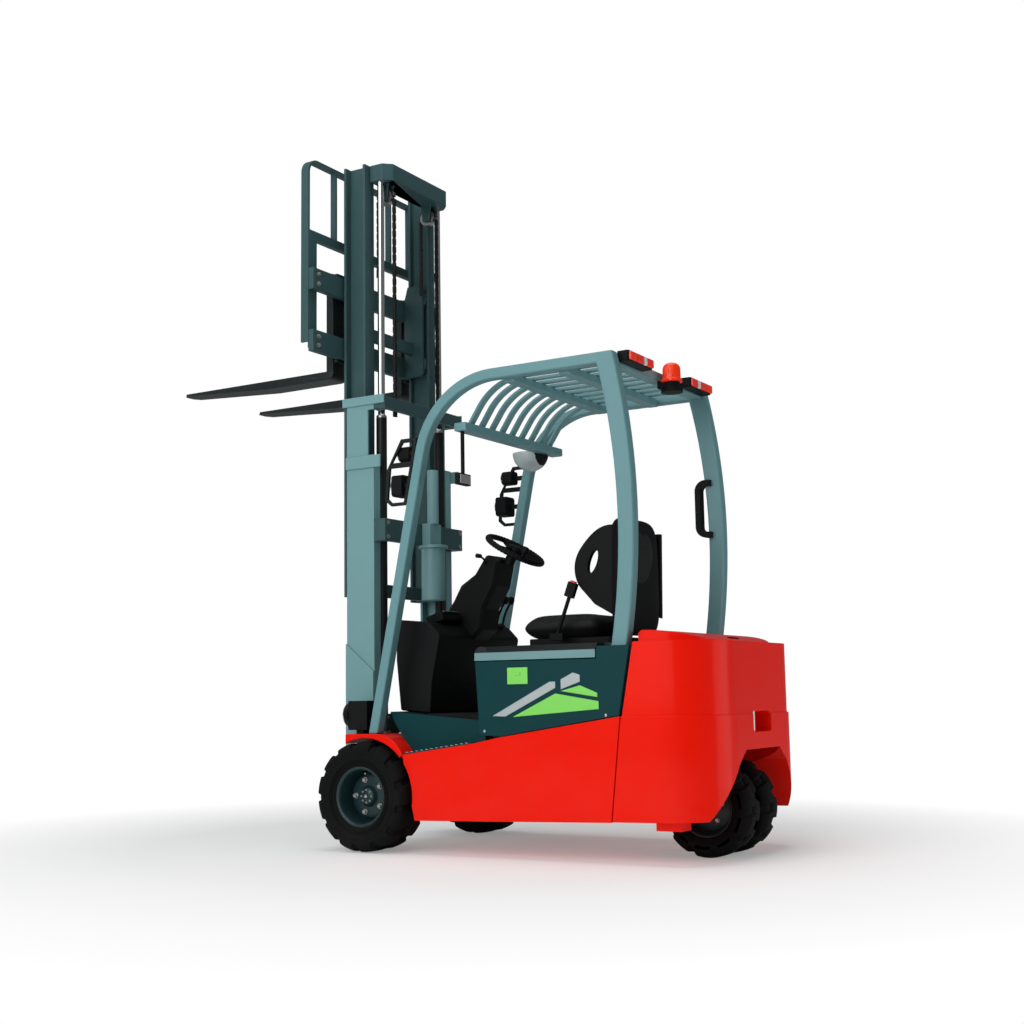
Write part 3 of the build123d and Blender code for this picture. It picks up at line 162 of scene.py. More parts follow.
def prism(outline, low, high):
    """A flat outline in X and Z carried straight along Y from low to high, closed by its two ends."""
    count = len(outline)
    u, v = np.tile(outline, (2, 1)).T
    points = np.stack([u, np.repeat([low, high], count), v], axis=-1)
    faces = [(i, (i + 1) % count, (i + 1) % count + count, i + count) for i in range(count)]
    return points, faces + [tuple(range(count - 1, -1, -1)), tuple(range(count, 2 * count))]


def block(centre, size, tilt=0.0):
    """A box from its centre and its three sides, leaned about Y by an angle in degrees: its corners
    are the centre plus or minus half of each side, turned by the sine and cosine of the angle."""
    signs = np.array([[x, y, z] for x in SIDES for y in SIDES for z in SIDES])
    c, s = math.cos(math.radians(tilt)), math.sin(math.radians(tilt))
    corners = signs * np.asarray(size, float) / 2 @ np.array([[c, 0, -s], [0, 1, 0], [s, 0, c]])
    faces = [(0, 1, 3, 2), (4, 6, 7, 5), (0, 4, 5, 1), (2, 3, 7, 6), (0, 2, 6, 4), (1, 5, 7, 3)]
    return corners + np.asarray(centre, float), faces


def bolt_heads(places, normal, radius, height):
    """Six-sided heads on round washers, one at each place: rings of six points round the normal,
    given as shares of the radius and the height, repeated at every place."""
    normal = np.asarray(normal, float)
    side = np.cross((0, 0, 1) if abs(normal[2]) < 0.9 else (1, 0, 0), normal)
    up = np.cross(normal, side)
    angle = circle(6)[:, None]
    ring = side * np.cos(angle) + up * np.sin(angle)
    rings = ((1.35, 0), (1.35, 0.16), (1, 0.17), (1, 0.9), (0.84, 1), (0, 1))
    head = np.vstack([ring * radius * scale + normal * height * level for scale, level in rings])
    faces = grid_faces(len(rings), 6, wrap_columns=True)
    return join_shapes([(head + spot, faces) for spot in np.atleast_2d(places)])


def tidy_mesh(mesh, flat_angle=None, merge=1e-5):
    """Doubles merged, flat neighbours joined where an angle is given, and faces turned outwards."""
    work = bmesh.new()
    work.from_mesh(mesh)
    bmesh.ops.remove_doubles(work, verts=work.verts, dist=merge)
    bmesh.ops.dissolve_degenerate(work, edges=work.edges, dist=merge / 2)
    if flat_angle is not None:
        bmesh.ops.dissolve_limit(work, angle_limit=math.radians(flat_angle), verts=work.verts, edges=work.edges)
    bmesh.ops.recalc_face_normals(work, faces=work.faces)
    work.to_mesh(mesh)
    work.free()


def linked(name, data):
    """A new object in the scene."""
    made = bpy.data.objects.new(name, data)
    bpy.context.scene.collection.objects.link(made)
    return made


def set_material(mesh, material):
    """One material in place of all that a mesh has."""
    mesh.materials.clear()
    mesh.materials.append(material)


def finish_piece(name, mesh, finish, body, bevel, segments, smooth):
    """The object round a mesh, with its rounding, smooth shading, material and body."""
    mesh.polygons.foreach_set("use_smooth", np.ones(len(mesh.polygons), bool))
    mesh.set_sharp_from_angle(angle=math.radians(smooth))
    made = linked(name, mesh)
    set_material(mesh, finish_of(finish))
    if bevel > 0:
        rounding = made.modifiers.new("rounding", "BEVEL")
        rounding.width = bevel
        rounding.segments = segments
        rounding.limit_method = "ANGLE"
        rounding.angle_limit = math.radians(32)
        rounding.use_clamp_overlap = True
        made.modifiers.new("even_normals", "WEIGHTED_NORMAL").keep_sharp = False
    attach(made, body)
    return made


def piece(name, shapes, finish, body, bevel=0.0, segments=2, smooth=40.0):
    """A new piece from a (points, faces) pair or a list of them: doubles merged, faces turned
    outwards, edges rounded, its finish set, and tied to the body that carries it."""
    points, faces = join_shapes(shapes) if isinstance(shapes, list) else shapes
    mesh = bpy.data.meshes.new(name)
    mesh.from_pydata(points.tolist(), [], [tuple(face) for face in faces])
    tidy_mesh(mesh)
    return finish_piece(name, mesh, finish, body, bevel, segments, smooth)


def rounded_copy(node, width, finish, segments=2):
    """A copy of a rigid part with its edges rounded as on the real pressing or casting. It stands
    for the plain one: the loose triangles are merged and flat ones joined before the rounding."""
    mesh = frame["nodes"][node].data.copy()
    mesh.name = node + "_rounded"
    for layer in [a for a in mesh.attributes if a.name == "custom_normal"]:
        mesh.attributes.remove(layer)
    tidy_mesh(mesh, flat_angle=0.6, merge=2e-5)
    made = finish_piece(mesh.name, mesh, finish, BODY_OF[node], width, segments, 32)
    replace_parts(made, node)


def rounded_copies(finish, slot, **shares):
    """Rounded copies of parts of one finish: each part's share of the user's edge radius is given."""
    for node, share in shares.items():
        width = share * bpy.context.scene.forklift_sizes.edge_radius
        rounded_copy(node, width, finish, segments=3 if node == "guard_frames" else 2)


# ---- Shader nodes and shared groups ----

def shader(tree, kind, inputs=None, **settings):
    """A shader node with its settings, and its inputs linked where a socket is given or else set."""
    made = tree.nodes.new("ShaderNode" + kind)
    for label, value in settings.items():
        setattr(made, label, value)
    for label, value in (inputs or {}).items():
        if isinstance(value, bpy.types.NodeSocket):
            tree.links.new(value, made.inputs[label])
        else:
            made.inputs[label].default_value = value
    return made


def calc(tree, operation, a, b, clamp=False):
    """One arithmetic step between sockets or plain numbers."""
    return shader(tree, "Math", {0: a, 1: b}, operation=operation, use_clamp=clamp).outputs[0]


def object_place(tree):
    """Object coordinates."""
    return shader(tree, "TexCoord").outputs["Object"]


def object_height(tree):
    """Height over the floor, in metres."""
    return shader(tree, "SeparateXYZ", {"Vector": object_place(tree)}).outputs["Z"]


def noise(tree, scale, detail, rough, vector=None):
    """Soft noise from 0 to 1, read in object coordinates unless others are given."""
    vector = vector or object_place(tree)
    inputs = {"Vector": vector, "Scale": scale, "Detail": detail, "Roughness": rough}
    return shader(tree, "TexNoise", inputs).outputs["Fac"]


def mix_colours(tree, factor, a, b):
    """The first colour turned into the second by a factor."""
    return shader(tree, "Mix", {"Factor": factor, "A": a, "B": b}, data_type="RGBA").outputs["Result"]


def new_group(name, inputs, outputs):
    """A node group of number sockets, its inputs given with their defaults."""
    group = bpy.data.node_groups.new(name, "ShaderNodeTree")
    for label, default in inputs.items():
        made = group.interface.new_socket(name=label, in_out="INPUT", socket_type="NodeSocketFloat")
        made.default_value = default
    for label in outputs:
        group.interface.new_socket(name=label, in_out="OUTPUT", socket_type="NodeSocketFloat")
    return group, group.nodes.new("NodeGroupInput").outputs, group.nodes.new("NodeGroupOutput").inputs


def soil_group():
    """Dust that lies low on the truck and in soft blotches: one minus height over a limit, plus
    noise, times the amount. It gives a mask and a change of roughness."""
    group, start, end = new_group("soil", {"Amount": 0.25, "Height": 0.5, "Scale": 6}, ("Mask", "Roughness"))
    low = calc(group, "SUBTRACT", 1, calc(group, "DIVIDE", object_height(group), start["Height"]), clamp=True)
    patch = calc(group, "SUBTRACT", noise(group, start["Scale"], 6, 0.62), 0.38, clamp=True)
    patch = calc(group, "MULTIPLY", patch, 2.2, clamp=True)
    both = calc(group, "ADD", calc(group, "MULTIPLY", low, 0.8), 0.22)
    mask = calc(group, "MULTIPLY", calc(group, "MULTIPLY", both, patch), start["Amount"], clamp=True)
    group.links.new(mask, end["Mask"])
    group.links.new(calc(group, "MULTIPLY", mask, 0.5), end["Roughness"])
    return group


def grain_group():
    """A surface's fine relief: two noises of different size added, for paint's orange peel,
    moulded plastic or a casting's skin. It gives a height."""
    group, start, end = new_group("grain", {"Scale": 300, "Coarse": 0.4}, ("Height",))
    fine = noise(group, start["Scale"], 3, 0.5)
    wide = noise(group, calc(group, "MULTIPLY", start["Scale"], 0.12), 2, 0.5)
    height = calc(group, "ADD", fine, calc(group, "MULTIPLY", wide, start["Coarse"]))
    group.links.new(height, end["Height"])
    return group


def scuff_group():
    """Thin scratches: a stretched noise kept only where it is highest. It gives a mask."""
    group, start, end = new_group("scuffs", {"Scale": 30, "Amount": 0.3}, ("Mask",))
    stretch = shader(group, "Mapping", {"Vector": object_place(group), "Scale": (0.25, 2, 3)})
    marks = noise(group, start["Scale"], 8, 0.7, stretch.outputs[0])
    cut = calc(group, "MULTIPLY", calc(group, "SUBTRACT", marks, 0.6, clamp=True), 9, clamp=True)
    group.links.new(calc(group, "MULTIPLY", cut, start["Amount"]), end["Mask"])
    return group


GROUPS = {"soil": soil_group, "grain": grain_group, "scuffs": scuff_group}


def group_node(tree, name, inputs):
    """A shared group placed in a material with its own values; the group is built once."""
    group = bpy.data.node_groups.get(name) or GROUPS[name]()
    return shader(tree, "Group", inputs, node_tree=group).outputs


# ---- Finishes ----

DUST = (0.36, 0.34, 0.31, 1)
DECK_BLACK = (0.004, 0.006, 0.007, 1)
DECK_HEIGHT = 0.813  # where the hood's light skirt meets its dark deck, in metres


def finish_of(name):
    """A finish's material, made when it is first asked for."""
    return bpy.data.materials.get(name) or make_finish(name, **FINISHES[name])


def make_finish(name, colour, rough, soil, metallic=0.0, coat=0.0, grain=(300, 0.4), depth=0.0002,
                soil_height=0.5, scuffs=0.0, under=(0.35, 0.33, 0.3), sheen=0.0, tint=0.12, glow=None,
                mirror=0.3, mirror_tint=(1, 1, 1), detail=None):
    """A painted, moulded or metal finish: base colour varied by soft noise, dust from the soil
    group, scratches that show what is under the paint, and relief from the grain group."""
    made = bpy.data.materials.new(name)
    made.use_nodes = True
    tree = made.node_tree
    skin = tree.nodes["Principled BSDF"].inputs
    plain = {"Metallic": metallic, "Coat Weight": coat, "Coat Roughness": 0.08, "Sheen Weight": sheen,
             "Specular IOR Level": mirror, "Specular Tint": (*mirror_tint, 1)}
    if glow:
        plain.update({"Emission Color": (*glow, 1), "Emission Strength": 0.35})
    for label, value in plain.items():
        skin[label].default_value = value
    if isinstance(colour, str):
        colour = getattr(bpy.context.scene.forklift_colours, colour)
    dark, light = ((*[min(1.0, c * (1 + change)) for c in colour], 1) for change in (-tint, tint))
    cloud = noise(tree, 3.5, 5, 0.6)
    top = mix_colours(tree, cloud, dark, light)
    if scuffs:
        top = mix_colours(tree, group_node(tree, "scuffs", {"Amount": scuffs})["Mask"], top, (*under, 1))
    dirt = group_node(tree, "soil", {"Amount": soil, "Height": soil_height})
    tree.links.new(mix_colours(tree, dirt["Mask"], top, DUST), skin["Base Color"])
    gloss = calc(tree, "ADD", calc(tree, "MULTIPLY", cloud, 0.1), rough - 0.05)
    tree.links.new(calc(tree, "ADD", gloss, dirt["Roughness"], clamp=True), skin["Roughness"])
    relief = group_node(tree, "grain", {"Scale": grain[0], "Coarse": grain[1]})["Height"]
    bump = shader(tree, "Bump", {"Distance": depth, "Height": relief})
    tree.links.new(bump.outputs["Normal"], skin["Normal"])
    if detail:
        detail(tree)
    return made


def leather_creases(tree):
    """Creased cells from a Voronoi texture, over the fine relief."""
    height = tree.nodes["Bump"].inputs["Height"]
    cells = shader(tree, "TexVoronoi", {"Scale": 330, "Vector": object_place(tree)}, feature="DISTANCE_TO_EDGE")
    crease = calc(tree, "MULTIPLY", calc(tree, "MINIMUM", cells.outputs["Distance"], 0.12), 5)
    fine = calc(tree, "MULTIPLY", height.links[0].from_socket, 0.3)
    tree.links.new(calc(tree, "ADD", crease, fine), height)


def lens_ribs(tree):
    """Close upright ribs from a wave, in place of the fine relief."""
    wave = shader(tree, "TexWave", {"Scale": 60, "Vector": object_place(tree)}, bands_direction="Y")
    tree.links.new(wave.outputs["Fac"], tree.nodes["Bump"].inputs["Height"])


def deck_over_skirt(tree):
    """A dark deck over a light skirt, parted by height with a narrow soft step."""
    base = tree.nodes["Principled BSDF"].inputs["Base Color"]
    deck = calc(tree, "MULTIPLY", calc(tree, "SUBTRACT", object_height(tree), DECK_HEIGHT), 800, clamp=True)
    tree.links.new(mix_colours(tree, deck, base.links[0].from_socket, DECK_BLACK), base)


LENS = dict(rough=0.18, coat=0.3, soil=0.05, depth=0.0006, tint=0.1, detail=lens_ribs)
FINISHES = {
    "red_gloss": dict(colour="red", rough=0.32, coat=0.08, depth=0.00012, soil=0.05, tint=0.04,
                      mirror_tint=(1, 0.16, 0.1)),
    "slate_paint": dict(colour="slate", rough=0.4, coat=0.06, depth=0.00015, soil=0.06, tint=0.08),
    "mast_paint": dict(colour="mast", rough=0.42, coat=0.05, soil=0.06, tint=0.08, scuffs=0.04),
    # The slate paint made darker, as painted shade on the mast's inner rails, ties, carriage and backrest
    "dim_paint": dict(colour="dim", rough=0.42, coat=0.05, soil=0.03, tint=0.15, mirror=0.2),
    "deep_paint": dict(colour="deep", rough=0.4, depth=0.00015, soil=0.015, mirror=0.12),
    "hood_paint": dict(colour="skirt", rough=0.4, coat=0.1, depth=0.00015, soil=0.08, tint=0.08,
                       detail=deck_over_skirt),
    "rim_enamel": dict(colour="rim", rough=0.36, coat=0.1, depth=0.00015, soil=0.05, soil_height=0.3, tint=0.1),
    "silver_film": dict(colour="silver", rough=0.34, metallic=0.2, depth=0.00005, soil=0.04, tint=0.04),
    "green_film": dict(colour="green", rough=0.36, coat=0.1, depth=0.00005, soil=0.03, tint=0.04),
    "frame_black": dict(colour=(0.006, 0.009, 0.0095), rough=0.42, coat=0.02, soil=0.02, tint=0.2, mirror=0.2),
    "fork_black": dict(colour=(0.007, 0.012, 0.013), rough=0.4, depth=0.0003, soil=0.05, tint=0.25, scuffs=0.18,
                       under=(0.2, 0.21, 0.21)),
    "moulded_black": dict(colour=(0.004, 0.0045, 0.005), rough=0.55, grain=(700, 0.2), depth=0.0003,
                          soil=0.012, tint=0.2, mirror=0.13),
    "rubber": dict(colour=(0.0035, 0.004, 0.004), rough=0.7, grain=(420, 0.8), depth=0.0005, soil=0.02,
                   soil_height=0.3, tint=0.3, mirror=0.1),
    "floor_rubber": dict(colour=(0.006, 0.007, 0.007), rough=0.8, grain=(500, 0.3), depth=0.0004, soil=0.15,
                         soil_height=0.9, tint=0.2, mirror=0.2),
    "seat_leather": dict(colour=(0.006, 0.0065, 0.007), rough=0.5, soil=0.015, depth=0.0003, sheen=0.03,
                         tint=0.3, mirror=0.2, detail=leather_creases),
    "bare_steel": dict(colour=(0.42, 0.42, 0.41), rough=0.34, metallic=1.0, soil=0.1, tint=0.1, scuffs=0.2,
                       under=(0.2, 0.18, 0.16)),
    "bright_chrome": dict(colour=(0.75, 0.76, 0.77), rough=0.1, metallic=1.0, depth=0.00005, soil=0.03,
                          tint=0.03),
    "oiled_chain": dict(colour=(0.05, 0.05, 0.048), rough=0.34, metallic=0.9, soil=0.1, tint=0.25),
    "pale_trim": dict(colour=(0.5, 0.52, 0.52), rough=0.5, depth=0.0001, soil=0.1, tint=0.05),
    "mirror_bowl": dict(colour=(0.42, 0.5, 0.5), rough=0.22, coat=0.6, depth=0.00002, soil=0.03, tint=0.05),
    "mirror_glass": dict(colour=(0.82, 0.84, 0.85), rough=0.04, metallic=1.0, depth=0.00002, soil=0.03,
                         tint=0.02),
    "lamp_glass": dict(colour=(0.5, 0.53, 0.54), rough=0.08, metallic=0.6, coat=1.0, depth=0.0006,
                       grain=(90, 1), soil=0.04, tint=0.05),
    "lens_red": dict(LENS, colour=(0.75, 0.02, 0.008), glow=(0.5, 0.02, 0.01)),
    "lens_amber": dict(LENS, colour=(0.85, 0.035, 0.003), glow=(0.5, 0.015, 0.001)),
    "lens_white": dict(LENS, colour=(0.7, 0.7, 0.69), glow=(0.2, 0.2, 0.2)),
    "red_button": dict(colour=(0.6, 0.01, 0.008), rough=0.35, coat=0.2, soil=0.03),
}


# ---- What a user may change ----

METRES = dict(subtype="DISTANCE", unit="LENGTH")
PAINT = dict(subtype="COLOR", size=3, min=0.0, max=1.0)


class FORKLIFT_PG_sizes(bpy.types.PropertyGroup):
    """Sizes of the dressed pieces."""
    lug_count: bpy.props.IntProperty(
        name="Front lugs", description="Lugs round one half of a front tyre", default=13, min=8, max=24)
    rear_lug_count: bpy.props.IntProperty(
        name="Rear lugs", description="Lugs round one half of a rear tyre", default=10, min=6, max=20)
    lug_depth: bpy.props.FloatProperty(
        name="Lug depth", description="Height of the tread's lugs", default=0.012, min=0.002, max=0.02, **METRES)
    edge_radius: bpy.props.FloatProperty(
        name="Edge radius", description="Rounding of pressed and cast edges", default=0.004, min=0.0005,
        max=0.01, **METRES)
    seat_puff: bpy.props.FloatProperty(
        name="Seat puff", description="How far the seat's cover may swell", default=0.01, min=0.0, max=0.02,
        **METRES)
    link_pitch: bpy.props.FloatProperty(
        name="Chain pitch", description="Distance between the lift chain's pins", default=0.0191, min=0.01,
        max=0.04, **METRES)
    bolt_radius: bpy.props.FloatProperty(
        name="Bolt radius", description="Radius of the larger bolt heads", default=0.009, min=0.003, max=0.015,
        **METRES)


class FORKLIFT_PG_colours(bpy.types.PropertyGroup):
    """Colours of the paint."""
    red: bpy.props.FloatVectorProperty(
        name="Red", description="Body and counterweight", default=(0.9, 0.009, 0.002), **PAINT)
    slate: bpy.props.FloatVectorProperty(
        name="Slate", description="Overhead guard", default=(0.13, 0.29, 0.31), **PAINT)
    mast: bpy.props.FloatVectorProperty(
        name="Mast", description="Outer rails, their plates and the guide tube", default=(0.165, 0.325, 0.34),
        **PAINT)
    # A darker copy of the slate: painted shade on the inner rails, ties, carriage and backrest
    dim: bpy.props.FloatVectorProperty(
        name="Dim slate", description="Inner rails, ties, carriage and backrest", default=(0.04, 0.09, 0.096),
        **PAINT)
    skirt: bpy.props.FloatVectorProperty(
        name="Skirt", description="Side strip of the hood", default=(0.15, 0.3, 0.31), **PAINT)
    deep: bpy.props.FloatVectorProperty(
        name="Deep teal", description="Side panels and steps", default=(0.001, 0.042, 0.046), **PAINT)
    rim: bpy.props.FloatVectorProperty(
        name="Rim", description="Wheel rims", default=(0.006, 0.026, 0.03), **PAINT)
    silver: bpy.props.FloatVectorProperty(
        name="Silver", description="Light stripes on the side panels", default=(0.42, 0.47, 0.48), **PAINT)
    green: bpy.props.FloatVectorProperty(
        name="Green", description="Green stripes on the side panels", default=(0.22, 0.72, 0.11), **PAINT)


# ---- Stage ----

PHOTO_WIDTH = 1024  # pixels
SENSOR_WIDTH = 36  # millimetres
FOCAL_LENGTH = 1424.3257  # pixels
CAMERA_ANGLES = (31.054456, 7.313668, -0.903348)  # turn, rise and roll in degrees
CAMERA_PLACE = (-3.692793 + FRONT_AXLE, 5.384683, 0.643292)
UP = np.array([0.0, 0.0, 1.0])
LAMPS = (
    # name, watts, side of the square, place, aim
    ("soft_key", 330, 6.5, (0.2, 6.6, 3.6), (-0.1, 0, 1.1)),
    ("soft_top", 150, 4, (-0.6, 0.4, 6.6), (-0.2, 0, 0.8)),
    ("soft_rear", 20, 1.8, (-3.9, -0.6, 0.9), (-1.2, 0, 0.7)),
    ("soft_front", 45, 4, (4.6, 0.6, 3.4), (0.2, 0, 1.2)),
)


def set_up(name, data, side, top, view, spot):
    """A camera or lamp in the scene: its right, its top and the way it looks become its matrix."""
    made = linked(name, data)
    rows = [[side[i], top[i], -view[i], spot[i]] for i in range(3)]
    made.matrix_world = Matrix(rows + [[0, 0, 0, 1]])
    return made


def set_camera(scene):
    """The camera at the photograph's viewing angle."""
    data = bpy.data.cameras.new("camera")
    data.sensor_width = SENSOR_WIDTH
    data.lens = FOCAL_LENGTH * SENSOR_WIDTH / PHOTO_WIDTH
    data.clip_end = 200
    turn, rise, roll = (math.radians(a) for a in CAMERA_ANGLES)
    ahead = np.array([math.sin(turn), -math.cos(turn), 0])
    right = np.array([-math.cos(turn), -math.sin(turn), 0])
    view = ahead * math.cos(rise) + UP * math.sin(rise)
    top = UP * math.cos(rise) - ahead * math.sin(rise)
    side = right * math.cos(roll) + top * math.sin(roll)
    top = top * math.cos(roll) - right * math.sin(roll)
    scene.camera = set_up("camera", data, side, top, view, CAMERA_PLACE)


def set_lamps():
    """Large square lamps, each one turned to its aim."""
    for name, watts, size, spot, aim in LAMPS:
        light = bpy.data.lights.new(name, "AREA")
        light.energy, light.size = watts, size
        view = np.subtract(aim, spot)
        view = view / np.linalg.norm(view)
        side = np.cross(view, UP)
        side = side / np.linalg.norm(side)
        set_up(name, light, side, np.cross(side, view), view, spot)


def camera_ray(tree):
    """One where the camera looks straight at the surface, zero elsewhere."""
    return shader(tree, "LightPath").outputs["Is Camera Ray"]


def set_world(scene):
    """White where the camera sees it, a softer white for the light on the truck."""
    scene.world = world = bpy.data.worlds.new("pale_room")
    world.use_nodes = True
    tree = world.node_tree
    tree.nodes.clear()
    seen = shader(tree, "Background", {"Color": (1, 1, 1, 1), "Strength": 1})
    soft = shader(tree, "Background", {"Color": (0.93, 0.97, 1, 1), "Strength": 0.15})
    mix = shader(tree, "MixShader", {0: camera_ray(tree), 1: soft.outputs[0], 2: seen.outputs[0]})
    shader(tree, "OutputWorld", {0: mix.outputs[0]})


def set_floor(scene):
    """A wide pale disc. Near the truck it takes the shadow; further out it turns to plain white."""
    steps, reach, level = 64, 60, -0.0005
    angle = circle(steps)
    points = np.stack([reach * np.cos(angle), reach * np.sin(angle), np.full(steps, level)], axis=-1)
    mesh = bpy.data.meshes.new("floor")
    mesh.from_pydata(points.tolist(), [], [tuple(range(steps))])
    made = linked("floor", mesh)
    finish = bpy.data.materials.new("pale_floor")
    finish.use_nodes = True
    tree = finish.node_tree
    tree.nodes.clear()
    paper = shader(tree, "BsdfDiffuse", {"Color": (0.93, 0.93, 0.93, 1)})
    white = shader(tree, "Emission", {"Strength": 1})
    far = shader(tree, "VectorMath", {0: object_place(tree)}, operation="LENGTH").outputs["Value"]
    blend = calc(tree, "DIVIDE", calc(tree, "SUBTRACT", far, 1.4), 1.6, clamp=True)
    blend = calc(tree, "ADD", calc(tree, "MULTIPLY", blend, 0.75), 0.25)
    blend = calc(tree, "MULTIPLY", blend, camera_ray(tree), clamp=True)
    mix = shader(tree, "MixShader", {0: blend, 1: paper.outputs[0], 2: white.outputs[0]})
    shader(tree, "OutputMaterial", {0: mix.outputs[0]})
    mesh.materials.append(finish)


class FORKLIFT_OT_stage(bpy.types.Operator):
    """Camera, soft lamps, world and the plain pale floor."""
    bl_idname = "forklift.stage"
    bl_label = "Stage"

    def execute(self, context):
        context.scene.view_settings.view_transform = "Standard"
        set_camera(context.scene)
        set_lamps()
        set_world(context.scene)
        set_floor(context.scene)
        return {"FINISHED"}


# ---- Wheels ----

def front_hub(sign):
    """The middle of a front wheel."""
    return at(0, sign * 439, 229)


def rear_hub(sign):
    """The middle of one half of the rear twin wheel."""
    return at(-1400, sign * 95, 190)


def lugged_tyre(centre, radius, width, rim_radius, lugs, depth):
    """A tyre as a closed ring of sections. A section is the outline from bead to bead and back
    inside. Over the tread and shoulders its radius grows by the lug depth times a flat-topped
    wave of the angle, which is half a lug further round on the other half of the width."""
    half, tread = width / 2, radius - 0.034
    outline = np.array([
        (rim_radius, half - 0.012), (rim_radius + 0.01, half - 0.006), (rim_radius + 0.024, half - 0.002),
        (rim_radius + 0.045, half), (radius - 0.045, half), (tread, half), (radius - 0.0335, half),
        (radius - 0.024, half - 0.002), (radius - 0.016, half - 0.006), (radius - 0.008, half - 0.014),
        (radius - 0.003, half - 0.022), (radius - 0.001, half * 0.62), (radius, half * 0.34),
        (radius, 0.009), (radius, 0.0075),
    ])
    inside = [(rim_radius - 0.004, -half + 0.016), (rim_radius - 0.004, half - 0.016)]
    outline = np.vstack([outline, outline[::-1] * (1, -1), inside])
    steps, lean, gap, flank, rib_half, rib_height, notch = 384, 2.2, 0.12, 0.05, 0.008, 0.35, 0.004
    angle = circle(steps)[:, None]
    base, across = outline.T[:, None, :]
    turn = (angle * lugs / (2 * math.pi) + np.where(across > 0, 0.5, 0) + np.abs(across) * lean) % 1
    rise = np.clip((0.5 - np.abs(turn - 0.5) - gap) / flank, 0, 1)
    height = np.maximum(rise * rise * (3 - 2 * rise), np.where(np.abs(across) < rib_half, rib_height, 0))
    cut = (1 - height) * np.clip((base - tread) / notch, 0, 1)
    ring = base - depth * cut
    across = across - np.sign(across) * notch * cut * (np.abs(across) > half - 0.016)
    points = np.stack([ring * np.sin(angle), across, ring * np.cos(angle)], axis=-1).reshape(-1, 3)
    return points + centre, grid_faces(steps, len(outline), wrap_rows=True, wrap_columns=True)


def bead_rings(centre, radii, offset, thick=0.0016):
    """Raised rings on a tyre's side wall: thin round sections carried round circles."""
    angle = circle(96)
    return [tube(round_axle(centre, radius, offset, angle), thick, sides=8, closed=True) for radius in radii]


class FORKLIFT_OT_tyres(bpy.types.Operator):
    """Lugged tyres with ringed side walls on the front wheels and the rear twin wheel."""
    bl_idname = "forklift.tyres"
    bl_label = "Tyres"

    def execute(self, context):
        sizes = context.scene.forklift_sizes
        for side, sign in FRONT_WHEELS:
            shapes = [lugged_tyre(front_hub(sign), 0.229, 0.198, 0.128, sizes.lug_count, sizes.lug_depth)]
            shapes += bead_rings(front_hub(sign), (0.142, 0.152, 0.178), sign * 0.0985)
            made = piece("front_tyre_tread_" + side, shapes, "rubber", "front_wheel_" + side, smooth=42)
            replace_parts(made, "front_tyre_" + side)
        shapes = []
        for _, sign in FRONT_WHEELS:
            shapes.append(lugged_tyre(rear_hub(sign), 0.19, 0.13, 0.112, sizes.rear_lug_count, sizes.lug_depth))
            shapes += bead_rings(rear_hub(sign), (0.126, 0.136), sign * 0.0645, 0.0013)
        made = piece("rear_tyre_treads", shapes, "rubber", "rear_wheels", smooth=42)
        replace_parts(made, "rear_tyres")
        return {"FINISHED"}


FRONT_DISH = (
    (0, 40), (30, 40), (36, 36), (40, 26), (46, 20), (60, 18), (80, 18), (90, 14), (96, 4), (98, -4),
    (103, -6), (106, 4), (108, 50), (111, 76), (116, 82), (122, 84), (127.5, 84), (128.5, 80), (128.5, -78),
    (124, -80), (62, -80), (60, -58), (0, -58),
)
REAR_DISH = (
    (0, 24), (30, 24), (36, 16), (70, 10), (88, 4), (96, 12), (100, 44), (106, 51), (112.5, 52.5),
    (112.5, -52), (46, -52), (46, -40), (0, -40),
)
HUB_CAP = ((0, 47), (7, 46), (10, 42), (11, 37), (0, 37))
VALVE = ((0.004, 0.1), (0.03, 0.098), (0.048, 0.094))  # along the axle and up from it


def nuts_round(centre, sign, count, start, radius, offset, size, height):
    """Nuts at equal angles round an axle, facing outwards."""
    angle = np.radians(np.arange(count) * (360 / count) + start)
    return bolt_heads(round_axle(centre, radius, sign * offset, angle), (0, sign, 0), size, height)


class FORKLIFT_OT_rims(bpy.types.Operator):
    """Dished wheel discs with their nuts, hub caps and valves."""
    bl_idname = "forklift.rims"
    bl_label = "Rims"

    def execute(self, context):
        for side, sign in FRONT_WHEELS:
            centre, body = front_hub(sign), "front_wheel_" + side
            dish = turned(np.multiply(FRONT_DISH, (1, sign)), centre, "Y", 96)
            made = piece("front_rim_dish_" + side, dish, "rim_enamel", body, smooth=36)
            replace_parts(made, "front_rim_" + side)
            nuts = [
                nuts_round(centre, sign, 5, 18, 0.07, 0.0178, 0.0095, 0.013),
                nuts_round(centre, sign, 8, 0, 0.026, 0.0398, 0.0032, 0.004),
                turned(np.multiply(HUB_CAP, (1, sign)), centre, "Y", 32),
                tube([centre + (0, sign * out, up) for out, up in VALVE], 0.0035, (1, 0, 0), 10),
            ]
            piece("front_nuts_" + side, nuts, "bare_steel", body, smooth=30)
        rear = [(rear_hub(sign), sign) for _, sign in FRONT_WHEELS]
        dishes = [turned(np.multiply(REAR_DISH, (1, sign)), centre) for centre, sign in rear]
        nuts = [nuts_round(centre, sign, 5, 0, 0.056, 0.0118, 0.008, 0.01) for centre, sign in rear]
        made = piece("rear_rim_dishes", dishes, "rim_enamel", "rear_wheels", smooth=36)
        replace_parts(made, "rear_rims")
        piece("rear_nuts", nuts, "bare_steel", "rear_wheels", smooth=30)
        return {"FINISHED"}


# ---- Body, guard and mast ----

